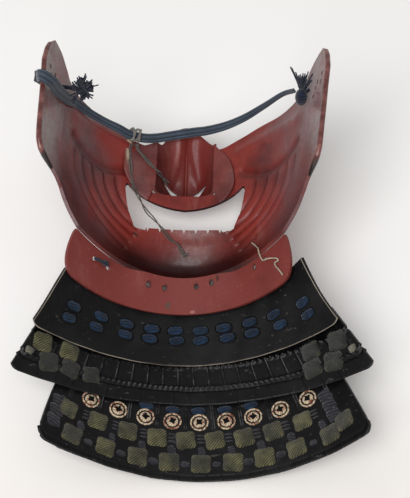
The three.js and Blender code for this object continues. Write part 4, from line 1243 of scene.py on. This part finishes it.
# %% Rosettes
def rosette_finish():
    f = Finish("cream_and_rust_braid", Roughness=0.8, Sheen_Weight=0.2, Specular_IOR_Level=0.2)
    u, v = f.split("UV")[0:2]
    along = f.plus(u, f.times(v, 0.12))
    cord = f.math("ABSOLUTE", f.math("SINE", f.times(along, math.pi * 12)))
    tone = f.mix(colour("c2b094"), colour("6f3a24"), f.step(f.noise(480, 2), 0.5, 0.58))
    tone = f.mix(tone, colour("b0806f"), f.step(f.noise(260, 2), 0.58, 0.66))
    tone = f.mix(tone, colour("4a3a30"), f.step(cord, 0.0, 0.45, 0.85, 0))
    f.wire(tone, "Base Color")
    f.bump((cord, 0.4, 0.8), (f.noise(1500, 2), 0.1, 0.4))
    return f.material


rosette_braid = rosette_finish()


def ring_net(rows, u, v, radius, bore, thick, columns=42, rows_round=12, lift=0.3, slope=0.0):
    """A closed ring; slope lifts its inner side, so it domes."""
    centre, across, down, up = seat(rows, u, v, lift)
    middle, wide = (radius + bore) / 2, (radius - bore) / 2

    def shape(a, b):
        turn, round_ = a * 2 * math.pi, b * 2 * math.pi
        r = middle + wide * np.cos(round_)
        z = thick / 2 + thick / 2 * np.sin(round_) - slope * np.cos(round_)
        return place_throat(centre + np.outer(r * np.cos(turn), across) + np.outer(r * np.sin(turn), down)
                            + np.outer(z, up))
    bm = net(columns, rows_round, shape)
    bmesh.ops.remove_doubles(bm, verts=bm.verts, dist=1e-6)
    bmesh.ops.recalc_face_normals(bm, faces=bm.faces)
    return bm


rosette_places = [(u, ROSETTE_DOWN) for u in ROSETTE_PLACES]
ring_nets = [ring_net(LAMES[2], u, v, 5.3, 4.25, 1.3) for u, v in rosette_places]
ring_nets += [ring_net(LAMES[2], u, v, 3.4, 1.3, 1.3, slope=0.3, lift=0.5) for u, v in rosette_places]
rings = gather("rosettes", ring_nets, rosette_braid, [f"rosette_{i + 1}" for i in range(9)])
heart_nets = [pad_net(LAMES[2], u, v, 9, 9, 0.7, 2) for u, v in rosette_places]
heart_nets += [pad_net(LAMES[2], u, v, 5.6, 1.8, 1.2, 3, turn=turn, lift=1.35, side=6)
               for u, v in rosette_places for turn in (35 + 200 * u, 125 + 200 * u)]
hearts = gather("rosette_hearts", heart_nets, slot_black)
report(rings)
report(hearts)

# %% [markdown]
# ## Woven squares
# Two rows of square pads cover the lower plate, the second a part of a step along.
# Dark braid links them, and runs as short bars under each rosette. A few more pads
# show at both ends of the middle plate, where the other rows end.

# %% Woven squares
lower = LAMES[2]
row_a = [(u, 0.58) for u in np.linspace(0.06, 0.84, 9)]
row_b = [(u, 0.8) for u in np.linspace(0.09, 0.9, 9)]
squares = [pad_net(lower, u, v, 12.2, 12, 1.6, 3.2, turn=9 * math.sin(60 * u), side=18, lobe=0.07)
           for u, v in [*row_a, (0.95, 0.75)]]
squares += [pad_net(lower, u, v, 12.3, 12, 1.6, 4, turn=5 * math.sin(50 * u), side=18, lobe=0.05)
            for u, v in row_b]
woven = gather("woven_squares", squares, olive_silk, ["woven_panel"])
between = [pad_net(lower, u + 0.05, v + 0.01, 6.4, 4.6, 0.9, 2.6, side=8) for u, v in row_b[:-1]]
between += [pad_net(lower, u, v + drop, 5.4, 1.5, 1.1, 3, side=6)
            for u, v in rosette_places for drop in (0.13, 0.165, 0.2)]
between += [pad_net(lower, u + 0.05, v + 0.115, 5, 8, 0.8, 2.6, side=8, turn=12) for u, v in row_a]
between += [pad_net(lower, u, first + 0.1 * i, 9, 10, 1.2, 3, side=10, turn=15, lobe=0.06)
            for u, first in ((0.03, 0.55), (0.93, 0.45)) for i in range(3)]
woven_dark = gather("woven_between", between, shadow_silk)
middle_rows = LAMES[1]


def end_spots(count, first, step, down, turn):
    """Pads in a row inwards from the left end: (across, down, wide, long, turn)."""
    return [(first + step * i, down, 13 - i, 12 - i, turn * (-1) ** i) for i in range(count)]


def mirrored(spots):
    return [(1 - u, v, wide, long, -turn) for u, v, wide, long, turn in spots]


upper_row, lower_row = end_spots(2, 0.04, 0.08, 0.47, 6), end_spots(3, 0.08, 0.06, 0.7, 10)
curls = [(u, 0.65, 5, 5, 0) for u in (0.02, 0.98)]
ends = []
for name, spots, silk, nodes in (("woven_left", upper_row, olive_silk, ["woven_end_left"]),
                                 ("woven_left_grey", lower_row, grey_silk, []),
                                 ("silk_curls", curls, pale_silk, []),
                                 ("woven_right", mirrored(upper_row + lower_row[:2]), grey_silk,
                                  ["woven_end_right"])):
    pads = [pad_net(middle_rows, u, v, w, h, 1.5, 3, turn=turn, side=16, lobe=0.06)
            for u, v, w, h, turn in spots]
    ends.append(gather(name, pads, silk, nodes))
for made in (woven, woven_dark, *ends):
    report(made)

# %% [markdown]
# ## Frayed ends and knots
# The band's ends are knotted at the ear plates and their threads have come loose. A
# tuft is a bundle of thin rolled nets that start in the knot and fan out.

# %% Tufts and knots
rng = np.random.default_rng(7)


def tuft(knot, way, count, long, spread, thick):
    """Loose threads from a knot, in metres: each bends away a little."""
    nets = []
    way = np.array(way, float) / np.linalg.norm(way)
    for _ in range(count):
        out = way + spread * rng.normal(size=3)
        out /= np.linalg.norm(out)
        bend = rng.normal(size=3) * 0.18
        reach = long * rng.uniform(0.7, 1.05)
        at = np.linspace(0, 1, 6)[:, None]
        line = (np.array(knot) + out * at * reach + bend * reach * at**2) * MM
        nets.append(rolled(line, 6, round_section(thick * rng.uniform(0.8, 1.2)), up=(0.3, 0.2, 0.9)))
    return nets


def ball(centre, size):
    """A knot's lump, as a round net pulled to its three half sizes in mm."""
    bm = bmesh.new()
    bm.loops.layers.uv.new("UVMap")
    bmesh.ops.create_uvsphere(bm, u_segments=24, v_segments=16, radius=1, calc_uvs=True)
    bmesh.ops.scale(bm, verts=bm.verts, vec=np.array(size) * MM)
    bmesh.ops.translate(bm, verts=bm.verts, vec=np.array(centre) * MM)
    return bm


left_knot, right_knot = (-67.5, 93.1, 85.5), (64.2, 86.9, 86.5)
left_nets = tuft(left_knot, (0.35, 0.05, 0.35), 150, 8.2, 0.85, 0.95)
left_nets += [ball(left_knot, (2.8, 2.8, 2.8)),
              rolled(smooth_route([left_knot, (-73, 94, 86.5), (-78.7, 94.1, 87.5)], 16), 12,
                     round_section(2.4))]
left_tuft = gather("tuft_left", left_nets, navy_tassel, ["left_tassel"])
right_nets = tuft(right_knot, (0.08, 0.62, 0.7), 60, 11.5, 0.1, 0.9)
right_nets += [ball(right_knot, (3.7, 4.2, 6)),
               rolled(smooth_route([right_knot, (66.5, 89, 87.7), (69, 90.9, 88.5)], 12), 12,
                      round_section(2.2))]
right_tuft = gather("tuft_right", right_nets, navy_tassel, ["right_knot"])

knot_middle = np.array([-36.2, 96.5, 39.7])
knot_way = np.array([9.2, 0.5, -4.2]) / 10.13
knot_side = np.cross(knot_way, (0, -0.574, 0.819))
knot_side /= np.linalg.norm(knot_side)
knot_top = np.cross(knot_side, knot_way)
turns = []
for k, shift in enumerate((-2.9, -1.9, -0.9, 0.3, 1.4, 2.5)):
    angle = np.linspace(0, 2 * math.pi, 25)
    line = (knot_middle + knot_way * shift + np.outer(np.cos(angle), knot_side) * (3.7 + 0.25 * (k % 2))
            + np.outer(np.sin(angle), knot_top) * (2.9 + 0.3 * (k % 3))
            + np.outer(np.sin(angle + 1.9 * k), knot_way) * 1.1) * MM
    turns.append(rolled(line, 8, round_section(1.05)))
thong_knot = gather("thong_wraps", turns, knot_thong, ["thong_knot"])

lace_line = smooth_route([[-57, -2.3, 47.2], [-55.8, -2.3, 46], [-54.1, -2.3, 44.5], [-51.2, -2.4, 42.3],
                          [-49.6, -3, 40.6]], 30)
lace_nets = [rolled(lace_line, 10, two_strand(1.9)), ball((-51.2, -2.4, 42.3), (2, 1.8, 1.6))]
flange_tie = gather("flange_tie", lace_nets, navy_tassel, ["flange_lace"])
for made in (left_tuft, right_tuft, thong_knot, flange_tie):
    report(made)

# %% [markdown]
# ## The cords' lengths
# The soft cords' lengths along their middles are printed, in millimetres.

# %% Cords
print("lengths in mm:", [round(length_of(x) * 1000) for x in (head_line, long_line, short_line,
                                                              twine_line)])

# %% [markdown]

# %% [markdown]
# ## The table and the light
# The guard lies on a plain pale table under one broad soft light from above, on the
# viewer's side and to the left. Gloss needs something bright to mirror, so the room is
# pale too.

# %% Table
table_mesh = bpy.data.meshes.new("table")
table_net = bmesh.new()
bmesh.ops.create_grid(table_net, x_segments=1, y_segments=1, size=3)
table_net.to_mesh(table_mesh)
table_net.free()
table = bpy.data.objects.new("table", table_mesh)
bpy.context.scene.collection.objects.link(table)
cloth = Finish("table_top", Roughness=0.75, Specular_IOR_Level=0.2)
# Painted shade of the light's falloff: the table darkens towards the viewer and brightens further back.
painted_light_falloff = cloth.step(cloth.plus(cloth.split()[1], cloth.times(cloth.noise(9, 4), 0.08)),
                       -0.2, 0.06)
cloth.wire(cloth.mix(colour("dcd6d1"), colour("f1f0ef"), painted_light_falloff), "Base Color")
table_mesh.materials.append(cloth.material)
table.location.z = -0.0002
print("table at z", round(table.location.z, 4))

# %% Light
def soft_light(name, place, aim, size, watts, tint=(1, 1, 1)):
    data = bpy.data.lights.new(name, "AREA")
    data.shape, data.size, data.energy, data.color = "SQUARE", size, watts, tint
    lamp = bpy.data.objects.new(name, data)
    bpy.context.scene.collection.objects.link(lamp)
    lamp.location = place
    lamp.rotation_euler = (Vector(aim) - Vector(place)).to_track_quat("-Z", "Y").to_euler()
    return lamp


soft_light("window", (-0.4, -0.95, 1.5), (0, 0, 0), 1.2, 29.5)
world = bpy.data.worlds.new("room")
world.use_nodes = True
world.node_tree.nodes["Background"].inputs["Color"].default_value = (*colour("f4f3f1"), 1)
world.node_tree.nodes["Background"].inputs["Strength"].default_value = 0.54
bpy.context.scene.world = world
bpy.context.scene.view_settings.view_transform = "Standard"
